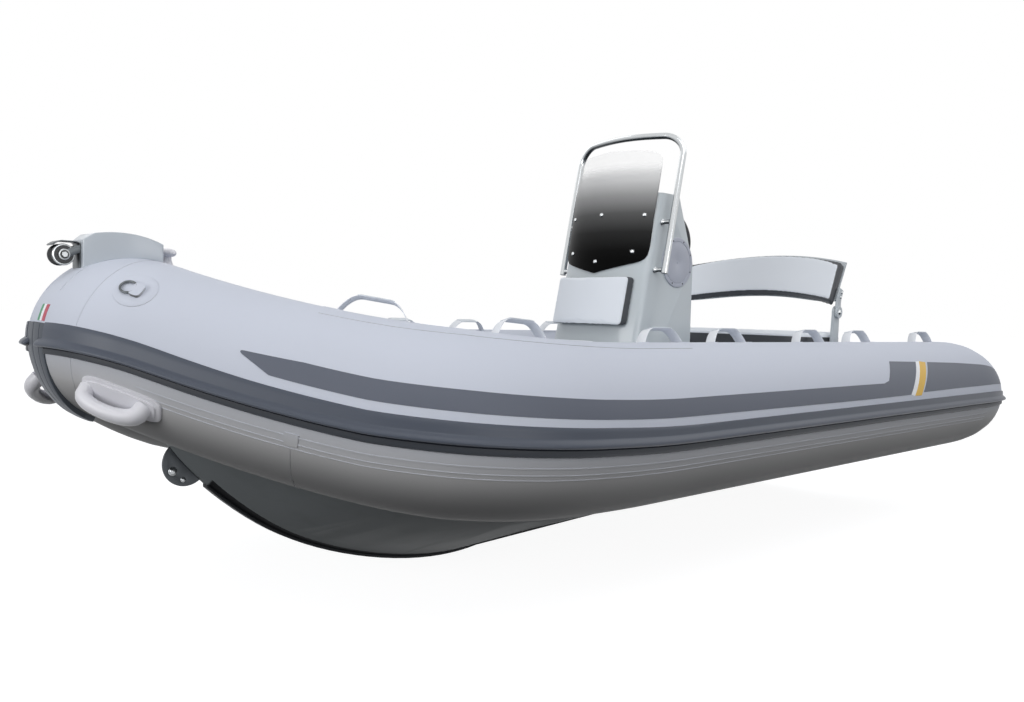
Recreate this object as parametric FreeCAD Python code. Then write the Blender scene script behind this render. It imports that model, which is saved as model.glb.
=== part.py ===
import FreeCAD, Part

import math
import os

from FreeCAD import Vector

# Rigid inflatable boat with a steering console, in millimetres.
# +X points to the bow, +Y to port, +Z up. The origin is amidships on the centreline, on the waterline.

# ---- fits shared by many pieces ----
CLEARANCE = 5.0               # between a moving piece and what it passes
PIN_FIT = 0.05                # pin in its bore
FAR = 5000.0                  # reach of a cutting block, past everything
BAR_SPANS = 5                 # spans in the bend of a round bar

# ---- collar: the inflated tube that runs round the boat ----
TUBE_RADIUS = 250.0
NOSE_RADIUS = 222.0
TUBE_SPACING = 768.0          # centreline of the boat to the centre of a side tube
TUBE_HEIGHT = 320.0           # waterline to the centre of a side tube
TUBE_AFT_X = -1723.0          # where the side tube ends and its cone begins
# the stern end's sections: distance aft of TUBE_AFT_X, radius
STERN_END = (
    (0.0, TUBE_RADIUS),
    (180.0, 238.0),
    (340.0, 180.0),
    (452.0, 70.0),
)
BEND_X = 1025.0               # where the side tube starts to turn in
BEND_RADIUS = 558.5
BOW_ANGLE = 47.7              # how far the tube turns before its straight bow leg
NOSE_BEND = 189.0             # radius of the tube's axis round the nose
BEND_SPANS = 5
MITRE_SPAN = 45.0             # last span of the leg, where the two tubes meet
NOSE_SPANS = 4                # from each side to the middle of the nose
MITRE_GAP = 1.0
# distances along the tube's plan line are counted from BEND_X
SHEER_START = -373.0
SHEER_MIDDLE = 232.0
MIDDLE_SLOPE = 0.0957
END_SLOPE = 0.3259            # slope of the tube's axis where its nose begins
TAPER_START = 310.0

# ---- rubbing strake: a flat band with a bead along it ----
BAND_THICKNESS = 6.0
BEAD_HEIGHT = 22.0
STRAKE_BITE = 5.0
# distance along the plan line, angle of the band's top, bead's top, bead's bottom, band's bottom
STRAKE_ANGLES = (
    (SHEER_START, 5.7, 0.2, -5.4, -10.9),
    (300.0, 7.2, 0.2, -5.2, -10.4),
    (760.0, 8.6, 0.2, -5.1, -9.9),
)
STRAKE_LEG_END = (10.4, 0.2, -5.0, -9.5)
STRAKE_NOSE = (3.8, -6.5, -12.0, -16.5)
STRIP_HALF_ANGLE = 9.0        # half of the centre strip's width, as an angle of the nose bend
STRIP_TOP = 9.5
STRIP_FOOT = -75.0
STRIP_THICKNESS = 8.0

# ---- hull moulding ----
TRANSOM_AHEAD = 173.0         # forward face of the transom, from where the cones begin
TRANSOM_THICKNESS = 50.0
TRANSOM_TOP = 380.0
TRANSOM_SHOULDER = 455.0
SHOULDER_HALF_WIDTH = 340.0
NOTCH_HALF_WIDTH = 300.0
SOLE_HEIGHT = 140.0
SOLE_THICKNESS = 12.0
CHINE_HALF_WIDTH = 600.0
# distance aft of the nose bend's middle, height of the keel, half breadth at the chine, height of the chine
STEM_SECTIONS = (
    (1299.0, -208.0, CHINE_HALF_WIDTH, 10.0),
    (899.0, -191.0, 560.0, 25.0),
    (649.0, -122.0, 470.0, 60.0),
    (449.0, -30.0, 330.0, 120.0),
    (299.0, 75.0, 200.0, 190.0),
    (199.0, 165.0, 105.0, 235.0),
    (119.0, 262.0, 30.0, 300.0),
)
TRANSOM_KEEL = -127.0
TRANSOM_CHINE = 20.0
KEEL_FLAT = 12.0
# where the hull's side meets the tube, as shares of the tube's radius in from and below its axis
SIDE_JOIN = (0.30, 0.85)
TOP_JOIN = (0.50, 0.768)
GUARD_THICKNESS = 10.0
GUARD_HALF_WIDTH = 16.0
GUARD_ROOT = 20.0
GUARD_FORE = 239.0            # forward end of the keel guard, aft of the nose bend's middle

# ---- console ----
CONSOLE_HALF_WIDTH = 228.0
CONSOLE_WALL = 6.0
CONSOLE_CORNER = 32.0
CONSOLE_BOW = 400.0           # plan radius of its front
CONSOLE_TOP = 1165.0
CONSOLE_FRONT_X = 30.0
CONSOLE_KNEE = 515.0          # the front leans back above this height
CONSOLE_LEAN = 0.222
CONSOLE_TOP_LENGTH = 192.0
CONSOLE_FIT = 0.3             # between the bowed front and what lies on it
CONSOLE_BACK_X = -420.0
DASH_FOOT = 885.0
COVER_RADIUS = 105.0
COVER_THICKNESS = 5.0
COVER_LAND = 20.0
COVER_X = -307.0
COVER_HEIGHT = 884.0
DOOR_HALF_WIDTH = 150.0
DOOR_LOW = 210.0
DOOR_HIGH = 640.0
HINGE_RADIUS = 7.0
LEAF_THICKNESS = 3.0
LEAF_WIDTH = 40.0
SWITCH_HALF_WIDTH = 45.0
SWITCH_HEIGHT = 60.0
SWITCH_Y = 155.0
SWITCH_THICKNESS = 5.0

# ---- windscreen and rail ----
WINDSCREEN_THICKNESS = 6.0
# half breadth and height of its corners, from its top to its foot
WINDSCREEN_EDGE = (
    (0.0, 1350.0),
    (210.0, 1338.0),
    (237.0, 1170.0),
    (230.0, 1053.0),
    (225.0, 942.0),
    (212.0, 877.0),
    (0.0, 829.0),
)
WINDSCREEN_CORNER = 38.0
RAIL_RADIUS = 12.5
RAIL_HALF_WIDTH = 280.0
RAIL_TOP = 1420.0
RAIL_FOOT = 830.0
RAIL_FOOT_X = -150.0
RAIL_LEAN = 0.205
RAIL_BEND = 90.0
POST_RADIUS = 8.0
LOW_POST = 15.0               # posts' heights above the rail's foot
HIGH_POST = 214.0

# ---- steering ----
WHEEL_RADIUS = 160.0
RIM_RADIUS = 14.0
RIM_SIDES = 6
SHAFT_RADIUS = 9.0
HUB_RADIUS = 30.0
HUB_DEPTH = 22.0
HELM_REACH = 110.0            # dash to the middle of the wheel
HELM_HEIGHT = 975.0
BEZEL_RADIUS = 49.0
BEZEL_THICKNESS = 12.0
NECK_RADIUS = 23.0
SPOKE_ROOT = 15.0
SPOKE_TIP = 9.0
SPOKE_THICKNESS = 6.0

# ---- front seat ----
SEAT_HALF_WIDTH = 210.0
SEAT_FRONT_X = 380.0
SEAT_CORNER = 30.0
SEAT_TOP = 470.0
SEAT_WALL = 8.0
SEAT_LAP = 90.0               # how far its sides run back past the middle of the bowed front
LID_THICKNESS = 12.0
LID_SETBACK = 50.0            # front of the console to the lid's after edge
CUSHION_THICKNESS = 60.0
CUSHION_SETBACK = 25.0        # lid's after edge to its cushion, so that it clears the console as it opens
PAD_HALF_WIDTH = 188.0
PAD_LOW = 612.0
PAD_HIGH = 812.0
PAD_THICKNESS = 46.0

# ---- aft bench ----
BENCH_AHEAD = 110.0           # back of the bench, from the transom
BENCH_LENGTH = 310.0
BENCH_HALF_WIDTH = 450.0
BENCH_TOP = 515.0
BENCH_CUSHION = 85.0
BENCH_OVERHANG = 50.0
BENCH_SWEEP = 100.0           # how far the cushion's front is bowed
BENCH_SETBACK = 20.0
BENCH_DOOR_HALF_WIDTH = 260.0
BENCH_DOOR_LOW = 200.0
BENCH_DOOR_HIGH = 460.0

# ---- backrest, from its pivot ----
PIVOT_AHEAD = 155.0           # pivot to the back of the bench
PIVOT_HEIGHT = 700.0
BACKREST_TOP = (-136.0, 295.0)
BACKREST_FOOT = (-35.0, 103.0)
BACKREST_OVERHANG = 10.0      # each side, past the bench
BACKREST_SWEEP = 72.0         # how far its ends come forward of its middle
BACKREST_DROP = 52.0          # how far its ends drop below its middle
BACKREST_PAD = 45.0
BACKREST_SHELL = 14.0
ARM_THICKNESS = 12.0
ARM_GAP = 2.0
KNUCKLE_RADIUS = 30.0
KNUCKLE_PIN = 8.0
ARM_FOOT_WIDTH = 80.0
# reach of a moving arm's head fore and aft of the backrest's foot, and above it
ARM_HEAD = (55.0, 35.0, 17.0)
# corners of the ear that joins the arm to the shell, from the backrest's foot
EAR = ((-55.0, -43.0), (5.0, 12.0))
EAR_BITE = 1.0
ARM_LAP = 120.0               # how far the fixed arm laps the side of the bench

# ---- bow fittings, from the middle of the nose bend ----
ROLLER_AHEAD = 161.0
ROLLER_ABOVE = 217.0
ROLLER_RADIUS = 30.0
ROLLER_WAIST = 22.0
ROLLER_FLANGE = 8.0
ROLLER_HALF_WIDTH = 26.0
ROLLER_PIN = 6.0
CHEEK_GAP = 1.5
CHEEK_THICKNESS = 4.0
CHEEK_MARGIN = 4.0
PIN_HEAD = 5.0
STEP_FACE = 41.0              # front of the step, aft of the roller
STEP_LENGTH = 184.0
STEP_FRONT_HALF = 40.0
STEP_AFT_HALF = 105.0
STEP_BOW = 12.0               # how far each side is rounded out
STEP_RISE = 41.0              # front edge of its top, above the roller
STEP_CROWN = 63.0
STEP_AFT_RISE = 38.0
STEP_NOSING = 24.0
STEP_SKIRT = 130.0
CLEAT_SETBACK = 50.0          # cleat aft of the step
CLEAT_RISE = 36.0
CLEAT_HALF_LENGTH = 55.0
CLEAT_HORN = 7.0
CLEAT_STEM_GAP = 18.0
CLEAT_BASE = (16.0, 36.0)
CLEAT_BASE_RISE = -16.0
PLATE_THICKNESS = 8.0
PLATE_RADIUS = 68.0
# aft of the nose bend's middle, height
PLATE_CENTRE = (179.0, 195.0)
TOW_EYE = (140.0, 174.0)
TOW_EYE_RADIUS = 11.0
SHACKLE_HOLE = (171.0, 147.0)
SHACKLE_RADIUS = 6.0

# ---- bow locker ----
LOCKER_AFT_X = 1068.0
LOCKER_TOP = 400.0
LOCKER_WALL = 10.0
LOCKER_DECK = 10.0
LOCKER_FORE = 279.0           # forward end of its deck, aft of the nose bend's middle
LOCKER_RIM = 25.0             # how far its lid laps its deck
# distance ahead of the bulkhead and half breadth of the lid's corners
LID_PLAN = ((0.0, 440.0), (150.0, 350.0), (440.0, 70.0))
LID_BARREL = 350.0            # half the length of its hinge

# ---- webbing and fittings on the collar ----
STRAP_WIDTH = 30.0
STRAP_THICKNESS = 3.0
STRAP_FOOT = 28.0             # how far a loop's legs lean in
STRAP_GAP = 0.1               # webbing's foot over the curved tube
LOOP_ANGLE = 104.0
LOOP_CHORD = 200.0
LOOP_HEIGHT = 52.0
# plan distance of each loop
GRAB_LOOPS = (551.0, 106.0, -560.0, -950.0, -1550.0)
AFT_GRAB_LOOPS = (768.0, 118.0)      # ahead of the side tube's end
HANDLE_BACK = 75.0            # handle's middle, aft of the leg's end
HANDLE_ANGLE = -30.0
HANDLE_BASE = (104.0, 38.0, 8.0)
HANDLE_GRIP = (94.0, 14.0, 52.0)
HANDLE_GRIP_THICKNESS = 20.0
HANDLE_LEG = 32.0
PATCH_RADIUS = 62.0
PATCH_THICKNESS = 3.0
PATCH_TURN = 6.0              # patch's middle, as an angle of the nose bend
PATCH_ANGLE = 46.9
RING_ANGLE = 42.0
RING_RADIUS = 20.0
RING_WIRE = 3.5
RING_SIDES = 4

UP = Vector(0, 0, 1)
PORT = Vector(0, 1, 0)
AHEAD = Vector(1, 0, 0)


def box(low, high):
    size = high.sub(low)
    return Part.makeBox(size.x, size.y, size.z, low)


def mirrored(shape):
    return shape.mirror(Vector(0, 0, 0), PORT)


def along(point, way, distance):
    return point.add(Vector(way).multiply(distance))


def prism(points, way):
    """A polygon carried along a vector."""
    return Part.Face(Part.makePolygon(points + [points[0]])).extrude(way)


def side_profile(points, half_width):
    """A profile of x and z, extruded across the boat."""
    return prism([Vector(x, -half_width, z) for x, z in points], PORT * (2 * half_width))


def cylinder(start, way, radius, length):
    return Part.makeCylinder(radius, length, start, way)


def cylinder_between(start, end, radius):
    way = end.sub(start)
    return Part.makeCylinder(radius, way.Length, start, way)


def across(x, z, radius, half_length):
    """A cylinder across the boat, centred on it."""
    return cylinder(Vector(x, -half_length, z), PORT, radius, 2 * half_length)


def bent_bar(centre, arm, axis, angle, radius):
    """A round bar bent about an axis, in short ruled spans."""
    sections = []
    for i in range(BAR_SPANS + 1):
        reach = FreeCAD.Rotation(axis, angle * i / BAR_SPANS).multVec(arm)
        circle = Part.Circle(centre.add(reach), axis.cross(reach), radius)
        sections.append(Part.Wire(Part.Edge(circle)))
    return Part.makeLoft(sections, True, True)


def largest(shape):
    return max(shape.Solids, key=lambda solid: solid.Volume)


def interpolate(table, at):
    for low, high in zip(table, table[1:]):
        if at <= high[0]:
            break
    share = (at - low[0]) / (high[0] - low[0])
    share = min(max(share, 0.0), 1.0)
    return [a + (b - a) * share for a, b in zip(low[1:], high[1:])]


# ---- the collar's path ----
TURN = math.radians(BOW_ANGLE)
PITCH = math.atan(END_SLOPE)
BEND_LENGTH = BEND_RADIUS * TURN
# the nose bends about a line in the centre plane that leans back with the rising tube
LINE_OUT = -math.sin(PITCH) * math.sin(TURN)
LINE_UP = math.cos(TURN)
LEG_START_Y = TUBE_SPACING - BEND_RADIUS * (1 - math.cos(TURN))
LEG_LENGTH = (LEG_START_Y - NOSE_BEND * math.hypot(LINE_OUT, LINE_UP)) / math.sin(TURN)
LEG_END = BEND_LENGTH + LEG_LENGTH
NOSE_ANGLE = math.degrees(math.acos(math.sin(TURN) * math.cos(PITCH)))
# distance along the plan line, slope of the tube's axis there
SHEER = ((SHEER_START, 0.0), (SHEER_MIDDLE, MIDDLE_SLOPE), (LEG_END, END_SLOPE))


def rise(distance):
    height = 0.0
    for low, high in zip(SHEER, SHEER[1:]):
        reach = min(distance, high[0])
        if reach <= low[0]:
            break
        slope = low[1] + (high[1] - low[1]) * (reach - low[0]) / (high[0] - low[0])
        height += (low[1] + slope) / 2 * (reach - low[0])
    return height + END_SLOPE * max(distance - LEG_END, 0.0)


def tube_frame(distance):
    """Centre, ways forward, outboard and up, and radius of the port tube at a plan distance."""
    turned = min(max(distance / BEND_RADIUS, 0.0), TURN)
    past = max(distance - BEND_LENGTH, 0.0)
    x = BEND_X + min(distance, 0.0) + BEND_RADIUS * math.sin(turned) + past * math.cos(TURN)
    y = TUBE_SPACING - BEND_RADIUS * (1 - math.cos(turned)) - past * math.sin(TURN)
    centre = Vector(x, y, TUBE_HEIGHT + rise(distance))
    slope = interpolate(SHEER, distance)[0]
    forward = Vector(math.cos(turned), -math.sin(turned), slope).normalize()
    outboard = Vector(math.sin(turned), math.cos(turned), 0)
    share = min(max((distance - TAPER_START) / (LEG_END - TAPER_START), 0.0), 1.0)
    radius = TUBE_RADIUS + (NOSE_RADIUS - TUBE_RADIUS) * share
    return centre, forward, outboard, forward.cross(outboard), radius


def path_at_x(x):
    """Plan distance at which the port tube's axis reaches a given x."""
    bend_x = BEND_RADIUS * math.sin(TURN)
    if x <= BEND_X:
        return x - BEND_X
    if x - BEND_X < bend_x:
        return BEND_RADIUS * math.asin((x - BEND_X) / BEND_RADIUS)
    return BEND_LENGTH + (x - BEND_X - bend_x) / math.cos(TURN)


LEG_CENTRE, LEG_FORWARD, LEG_OUT, LEG_UP, LEG_RADIUS = tube_frame(LEG_END)
NOSE_LINE = (LEG_OUT * LINE_OUT + LEG_UP * LINE_UP).normalize()
NOSE_PIVOT = along(LEG_CENTRE, LEG_FORWARD.cross(NOSE_LINE), NOSE_BEND)


def nose_frame(angle):
    """The leg's end frame carried round the nose bend by an angle in degrees."""
    turn = FreeCAD.Rotation(NOSE_LINE, -angle)
    centre = NOSE_PIVOT.add(turn.multVec(LEG_CENTRE.sub(NOSE_PIVOT)))
    ways = [turn.multVec(way) for way in (LEG_FORWARD, LEG_OUT, LEG_UP)]
    return (centre, ways[0], ways[1], ways[2], NOSE_RADIUS)


BOW = nose_frame(NOSE_ANGLE)[0]


def radial_way(frame, angle):
    a = math.radians(angle)
    return frame[2] * math.cos(a) + frame[3] * math.sin(a)


def around(frame, angle, radius):
    return along(frame[0], radial_way(frame, angle), radius)


def ring(frame, extra=0.0):
    points = [around(frame, angle, frame[4] + extra) for angle in (0, 90, 180, 270)]
    upper = Part.Arc(points[0], points[1], points[2]).toShape()
    lower = Part.Arc(points[2], points[3], points[0]).toShape()
    return Part.Wire([upper, lower])


def nose_wire(frame, extra=0.0):
    """The tube's section outboard of the line that the nose bends about."""
    out = NOSE_LINE.cross(frame[1])
    reach = NOSE_BEND - MITRE_GAP
    radius = frame[4] + extra
    half = math.sqrt(radius ** 2 - reach ** 2)
    foot = along(frame[0], out, -reach)
    top = along(foot, NOSE_LINE, half)
    bottom = along(foot, NOSE_LINE, -half)
    tip = along(frame[0], out, radius)
    return Part.Wire([Part.Arc(bottom, tip, top).toShape(), Part.makeLine(top, bottom)])


def bow_stations():
    """Plan distances of the sections from the start of the sheer to the nose."""
    bend = [BEND_LENGTH * i / BEND_SPANS for i in range(BEND_SPANS + 1)]
    return [SHEER_START] + bend + [BEND_LENGTH + LEG_LENGTH / 2, LEG_END - MITRE_SPAN, LEG_END]


def collar_side():
    rings = [ring(tube_frame(distance)) for distance in bow_stations()]
    port_half = box(Vector(0, 0, -FAR), Vector(FAR, FAR, FAR))
    bow_leg = Part.makeLoft(rings, True, True).common(port_half)
    start = tube_frame(TUBE_AFT_X - BEND_X)[0]
    return cylinder(start, AHEAD, TUBE_RADIUS, BEND_X + SHEER_START - TUBE_AFT_X).fuse(bow_leg)


def collar_nose():
    frames = [nose_frame(NOSE_ANGLE * i / NOSE_SPANS) for i in range(NOSE_SPANS + 1)]
    half = Part.makeLoft([nose_wire(frame) for frame in frames], True, True)
    return half.fuse(mirrored(half))


def stern_cone():
    """The tube's stern end, closed in by a row of short cones."""
    start = tube_frame(TUBE_AFT_X - BEND_X)[0]
    circles = [Part.Circle(along(start, AHEAD, -back), AHEAD, radius) for back, radius in STERN_END]
    return Part.makeLoft([Part.Wire(Part.Edge(circle)) for circle in circles], True, True)


# ---- rubbing strake ----
def strake_wire(frame, angles):
    top, bead_top, bead_bottom, bottom = angles
    inner = frame[4] - STRAKE_BITE
    band = frame[4] + BAND_THICKNESS
    crest = around(frame, (bead_top + bead_bottom) / 2, frame[4] + BEAD_HEIGHT)
    bead = [around(frame, bead_top, band), crest, around(frame, bead_bottom, band)]
    above = [around(frame, top, inner), around(frame, top, band), bead[0]]
    below = [bead[2], around(frame, bottom, band), around(frame, bottom, inner)]
    edges = [Part.makeLine(a, b) for a, b in zip(above, above[1:])]
    edges.append(Part.Arc(*bead).toShape())
    edges += [Part.makeLine(a, b) for a, b in zip(below, below[1:])]
    edges.append(Part.makeLine(below[-1], above[0]))
    return Part.Wire(edges)


def strake_side(carriers):
    table = STRAKE_ANGLES + ((LEG_END,) + STRAKE_LEG_END,)
    wires = [strake_wire(tube_frame(at), interpolate(table, at)) for at in bow_stations()]
    straight = Part.Face(wires[0]).extrude(AHEAD * (TUBE_AFT_X - BEND_X - SHEER_START))
    bow_leg = Part.makeLoft(wires, True, True)
    nose_wires = []
    for i in range(NOSE_SPANS + 1):
        share = i / NOSE_SPANS
        angles = [a + (b - a) * share for a, b in zip(STRAKE_LEG_END, STRAKE_NOSE)]
        nose_wires.append(strake_wire(nose_frame((NOSE_ANGLE - STRIP_HALF_ANGLE) * share), angles))
    nose = Part.makeLoft(nose_wires, True, True)
    return straight.fuse([bow_leg, nose]).cut(carriers)


def strip_wire(frame):
    inner = frame[4] - STRAKE_BITE
    outer = frame[4] + STRIP_THICKNESS
    middle = (STRIP_TOP + STRIP_FOOT) / 2
    face = Part.Arc(*[around(frame, a, outer) for a in (STRIP_TOP, middle, STRIP_FOOT)]).toShape()
    back = Part.Arc(*[around(frame, a, inner) for a in (STRIP_FOOT, middle, STRIP_TOP)]).toShape()
    upper = Part.makeLine(around(frame, STRIP_TOP, inner), around(frame, STRIP_TOP, outer))
    lower = Part.makeLine(around(frame, STRIP_FOOT, outer), around(frame, STRIP_FOOT, inner))
    return Part.Wire([upper, face, lower, back])


def centre_strip(carriers):
    turns = (-STRIP_HALF_ANGLE, 0, STRIP_HALF_ANGLE)
    wires = [strip_wire(nose_frame(NOSE_ANGLE + turn)) for turn in turns]
    return Part.makeLoft(wires, True, True).cut(carriers)


# ---- hull ----
TRANSOM_X = TUBE_AFT_X + TRANSOM_AHEAD
HULL_SECTIONS = [(TRANSOM_X, TRANSOM_KEEL, CHINE_HALF_WIDTH, TRANSOM_CHINE)]
HULL_SECTIONS += [(BOW.x - row[0],) + row[1:] for row in STEM_SECTIONS]


def hull_wire(x, keel, chine_y, chine_z):
    centre, forward, outboard, up, radius = tube_frame(path_at_x(x))
    side, top = SIDE_JOIN, TOP_JOIN
    half = [
        (KEEL_FLAT, keel),
        (chine_y, chine_z),
        (centre.y - side[0] * radius, centre.z - side[1] * radius),
        (centre.y - top[0] * radius, centre.z - top[1] * radius),
    ]
    points = [Vector(x, y, z) for y, z in half]
    points += [Vector(x, -y, z) for y, z in reversed(half)]
    return Part.makePolygon(points + [points[0]])


def hull_moulding(collar):
    aft = Part.makeLoft([hull_wire(*row) for row in HULL_SECTIONS[:2]], True, True)
    bow = Part.makeLoft([hull_wire(*row) for row in HULL_SECTIONS[1:]], True, False)
    low = Vector(TRANSOM_X - 1, -FAR, SOLE_HEIGHT - SOLE_THICKNESS)
    well = box(low, Vector(LOCKER_AFT_X, FAR, FAR))
    return largest(aft.fuse(bow).cut(collar).cut(well))


def keel_guard(hull):
    def wire(row):
        high, low = row[1] + GUARD_ROOT, row[1] - GUARD_THICKNESS
        half = [(-GUARD_HALF_WIDTH, high), (GUARD_HALF_WIDTH, high)]
        half += [(GUARD_HALF_WIDTH, low), (-GUARD_HALF_WIDTH, low)]
        points = [Vector(row[0], y, z) for y, z in half]
        return Part.makePolygon(points + [points[0]])

    aft = Part.makeLoft([wire(row) for row in HULL_SECTIONS[:2]], True, True)
    bow = Part.makeLoft([wire(row) for row in HULL_SECTIONS[1:]], True, False)
    end = box(Vector(-FAR, -FAR, -FAR), Vector(BOW.x - GUARD_FORE, FAR, FAR))
    return largest(aft.fuse(bow).common(end).cut(hull))


def tow_plate(hull, collar):
    centre, eye, shackle = [(BOW.x - back, z) for back, z in (PLATE_CENTRE, TOW_EYE, SHACKLE_HOLE)]
    disc = across(*centre, PLATE_RADIUS, PLATE_THICKNESS / 2)
    holes = [across(*eye, TOW_EYE_RADIUS, PLATE_THICKNESS), across(*shackle, SHACKLE_RADIUS, PLATE_THICKNESS)]
    return largest(disc.cut(holes + [hull] + collar))


def deck_sole(collar):
    low = Vector(TRANSOM_X, -TUBE_SPACING, SOLE_HEIGHT - SOLE_THICKNESS)
    return largest(box(low, Vector(LOCKER_AFT_X, TUBE_SPACING, SOLE_HEIGHT)).cut(collar))


def transom(collar):
    side = TUBE_SPACING - TUBE_RADIUS / 3
    half = [
        (KEEL_FLAT, TRANSOM_KEEL),
        (CHINE_HALF_WIDTH, TRANSOM_CHINE),
        (side, TRANSOM_CHINE + 90),
        (side, TRANSOM_SHOULDER),
        (SHOULDER_HALF_WIDTH, TRANSOM_SHOULDER),
        (NOTCH_HALF_WIDTH, TRANSOM_TOP),
    ]
    points = [Vector(TRANSOM_X, y, z) for y, z in half]
    points += [Vector(TRANSOM_X, -y, z) for y, z in reversed(half)]
    return largest(prism(points, AHEAD * -TRANSOM_THICKNESS).cut(collar))


# ---- console ----
def front_x(height):
    """The sloping front of the console at a height."""
    return CONSOLE_FRONT_X - CONSOLE_LEAN * (max(height, CONSOLE_KNEE) - CONSOLE_KNEE)


def front_plan(out):
    """The bowed front of the console in plan, moved out, from one side to the other."""
    reach = CONSOLE_BOW + out
    half = CONSOLE_HALF_WIDTH + out
    corner = CONSOLE_CORNER + out
    centre = Vector(front_x(CONSOLE_KNEE) - CONSOLE_BOW, 0, CONSOLE_KNEE)
    # the corner's arc runs from the side to where it meets the bow
    rise = half - corner
    run = math.sqrt((reach - corner) ** 2 - rise ** 2)
    meet = math.asin(rise / (reach - corner))
    middle = (math.pi / 2 + meet) / 2

    def corner_point(angle):
        return centre + Vector(run + corner * math.cos(angle), rise + corner * math.sin(angle), 0)

    side, turn, join = [corner_point(a) for a in (math.pi / 2, middle, meet)]
    return side, turn, join, centre + AHEAD * reach


def console_form(inset):
    """The console's outside, or its inside a wall's thickness in."""
    top_x = front_x(CONSOLE_TOP)
    profile = [
        (CONSOLE_FRONT_X - inset, SOLE_HEIGHT),
        (CONSOLE_FRONT_X - inset, CONSOLE_KNEE),
        (top_x - inset, CONSOLE_TOP - inset),
        (top_x - CONSOLE_TOP_LENGTH + inset, CONSOLE_TOP - inset),
        (CONSOLE_BACK_X + inset, DASH_FOOT),
        (CONSOLE_BACK_X + inset, SOLE_HEIGHT),
    ]
    side, turn, join, tip = front_plan(-inset)
    aft = Vector(CONSOLE_BACK_X - CONSOLE_BOW, side.y, side.z)
    edges = [
        Part.Arc(other_side(join), tip, join).toShape(),
        Part.Arc(join, turn, side).toShape(),
        Part.makeLine(side, aft),
        Part.makeLine(aft, other_side(aft)),
        Part.makeLine(other_side(aft), other_side(side)),
        Part.Arc(other_side(side), other_side(turn), other_side(join)).toShape(),
    ]
    return leaning(Part.Face(Part.Wire(edges))).common(side_profile(profile, CONSOLE_HALF_WIDTH - inset))


def other_side(point):
    return Vector(point.x, -point.y, point.z)


def leaning(plan):
    """A plan at the knee, tipped square to the console's front and carried down and up along it."""
    hinge = Vector(front_x(CONSOLE_KNEE), 0, CONSOLE_KNEE)
    up = Vector(-CONSOLE_LEAN, 0, 1).normalize()
    tipped = plan.copy()
    tipped.rotate(hinge, PORT, -math.degrees(math.atan(CONSOLE_LEAN)))
    tipped.translate(up * (-1.2 * (CONSOLE_KNEE - SOLE_HEIGHT)))
    return tipped.extrude(up * (2 * (CONSOLE_TOP - SOLE_HEIGHT)))


def lean_skin(outline, thickness):
    """A skin on the bowed front of the console; the outline is a prism that runs ahead."""
    centre = Vector(front_x(CONSOLE_KNEE) - CONSOLE_BOW, 0, CONSOLE_KNEE)
    radii = [CONSOLE_BOW + off for off in (CONSOLE_FIT, CONSOLE_FIT + thickness)]
    near, far = [Part.makeCircle(radius, centre, UP, -90, 90) for radius in radii]
    caps = [Part.makeLine(centre + way * radii[0], centre + way * radii[1]) for way in (PORT, PORT * -1)]
    return leaning(Part.Face(Part.Wire([near, caps[0], far, caps[1]]))).common(outline)


def dash_axes():
    """A point on the sloping dash at the helm, its outward normal and its upward way."""
    top = Vector(front_x(CONSOLE_TOP) - CONSOLE_TOP_LENGTH, 0, CONSOLE_TOP)
    foot = Vector(CONSOLE_BACK_X, 0, DASH_FOOT)
    up = top.sub(foot).normalize()
    share = (HELM_HEIGHT - foot.z) / (top.z - foot.z)
    return foot + (top - foot) * share, Vector(-up.z, 0, up.x), up


def console_shell():
    shell = console_form(0).cut(console_form(CONSOLE_WALL))
    door_way = box(
        Vector(CONSOLE_BACK_X - CONSOLE_WALL, -DOOR_HALF_WIDTH, DOOR_LOW),
        Vector(CONSOLE_BACK_X + 2 * CONSOLE_WALL, DOOR_HALF_WIDTH, DOOR_HIGH),
    )
    cover_way = across(COVER_X, COVER_HEIGHT, COVER_RADIUS - COVER_LAND, CONSOLE_HALF_WIDTH + 1)
    point, out, up = dash_axes()
    helm_way = cylinder(along(point, out, -4 * CONSOLE_WALL), out, NECK_RADIUS, 8 * CONSOLE_WALL)
    return shell.cut([door_way, cover_way, helm_way])


def inspection_covers():
    cover = cylinder(Vector(COVER_X, CONSOLE_HALF_WIDTH, COVER_HEIGHT), PORT, COVER_RADIUS, COVER_THICKNESS)
    return Part.makeCompound([cover, mirrored(cover)])


def console_door():
    gap = CLEARANCE
    low, high = DOOR_LOW + gap, DOOR_HIGH - gap
    panel = box(
        Vector(CONSOLE_BACK_X, gap - DOOR_HALF_WIDTH, low),
        Vector(CONSOLE_BACK_X + CONSOLE_WALL, DOOR_HALF_WIDTH - gap, high),
    )
    hinge_y = 2 * gap - DOOR_HALF_WIDTH
    hinge_low = Vector(CONSOLE_BACK_X - HINGE_RADIUS - 1, hinge_y, low + gap)
    barrel = cylinder(hinge_low, UP, HINGE_RADIUS, high - low - 2 * gap)
    leaf = box(
        Vector(CONSOLE_BACK_X - LEAF_THICKNESS, hinge_y, low + gap),
        Vector(CONSOLE_BACK_X, hinge_y + LEAF_WIDTH, high - gap),
    )
    return panel.fuse([barrel, leaf])


def switch_panel():
    point, out, up = dash_axes()
    corner = point + PORT * (SWITCH_Y - SWITCH_HALF_WIDTH) - up * (SWITCH_HEIGHT / 2)
    wide = PORT * (2 * SWITCH_HALF_WIDTH)
    high = up * SWITCH_HEIGHT
    return prism([corner, corner + wide, corner + wide + high, corner + high], out * SWITCH_THICKNESS)


def ahead_prism(corners):
    """An outline of half breadths and heights, carried fore and aft over the console's front."""
    start = CONSOLE_FRONT_X - CONSOLE_BOW
    return prism([Vector(start, y, z) for y, z in corners], AHEAD * (2 * CONSOLE_BOW))


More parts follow.
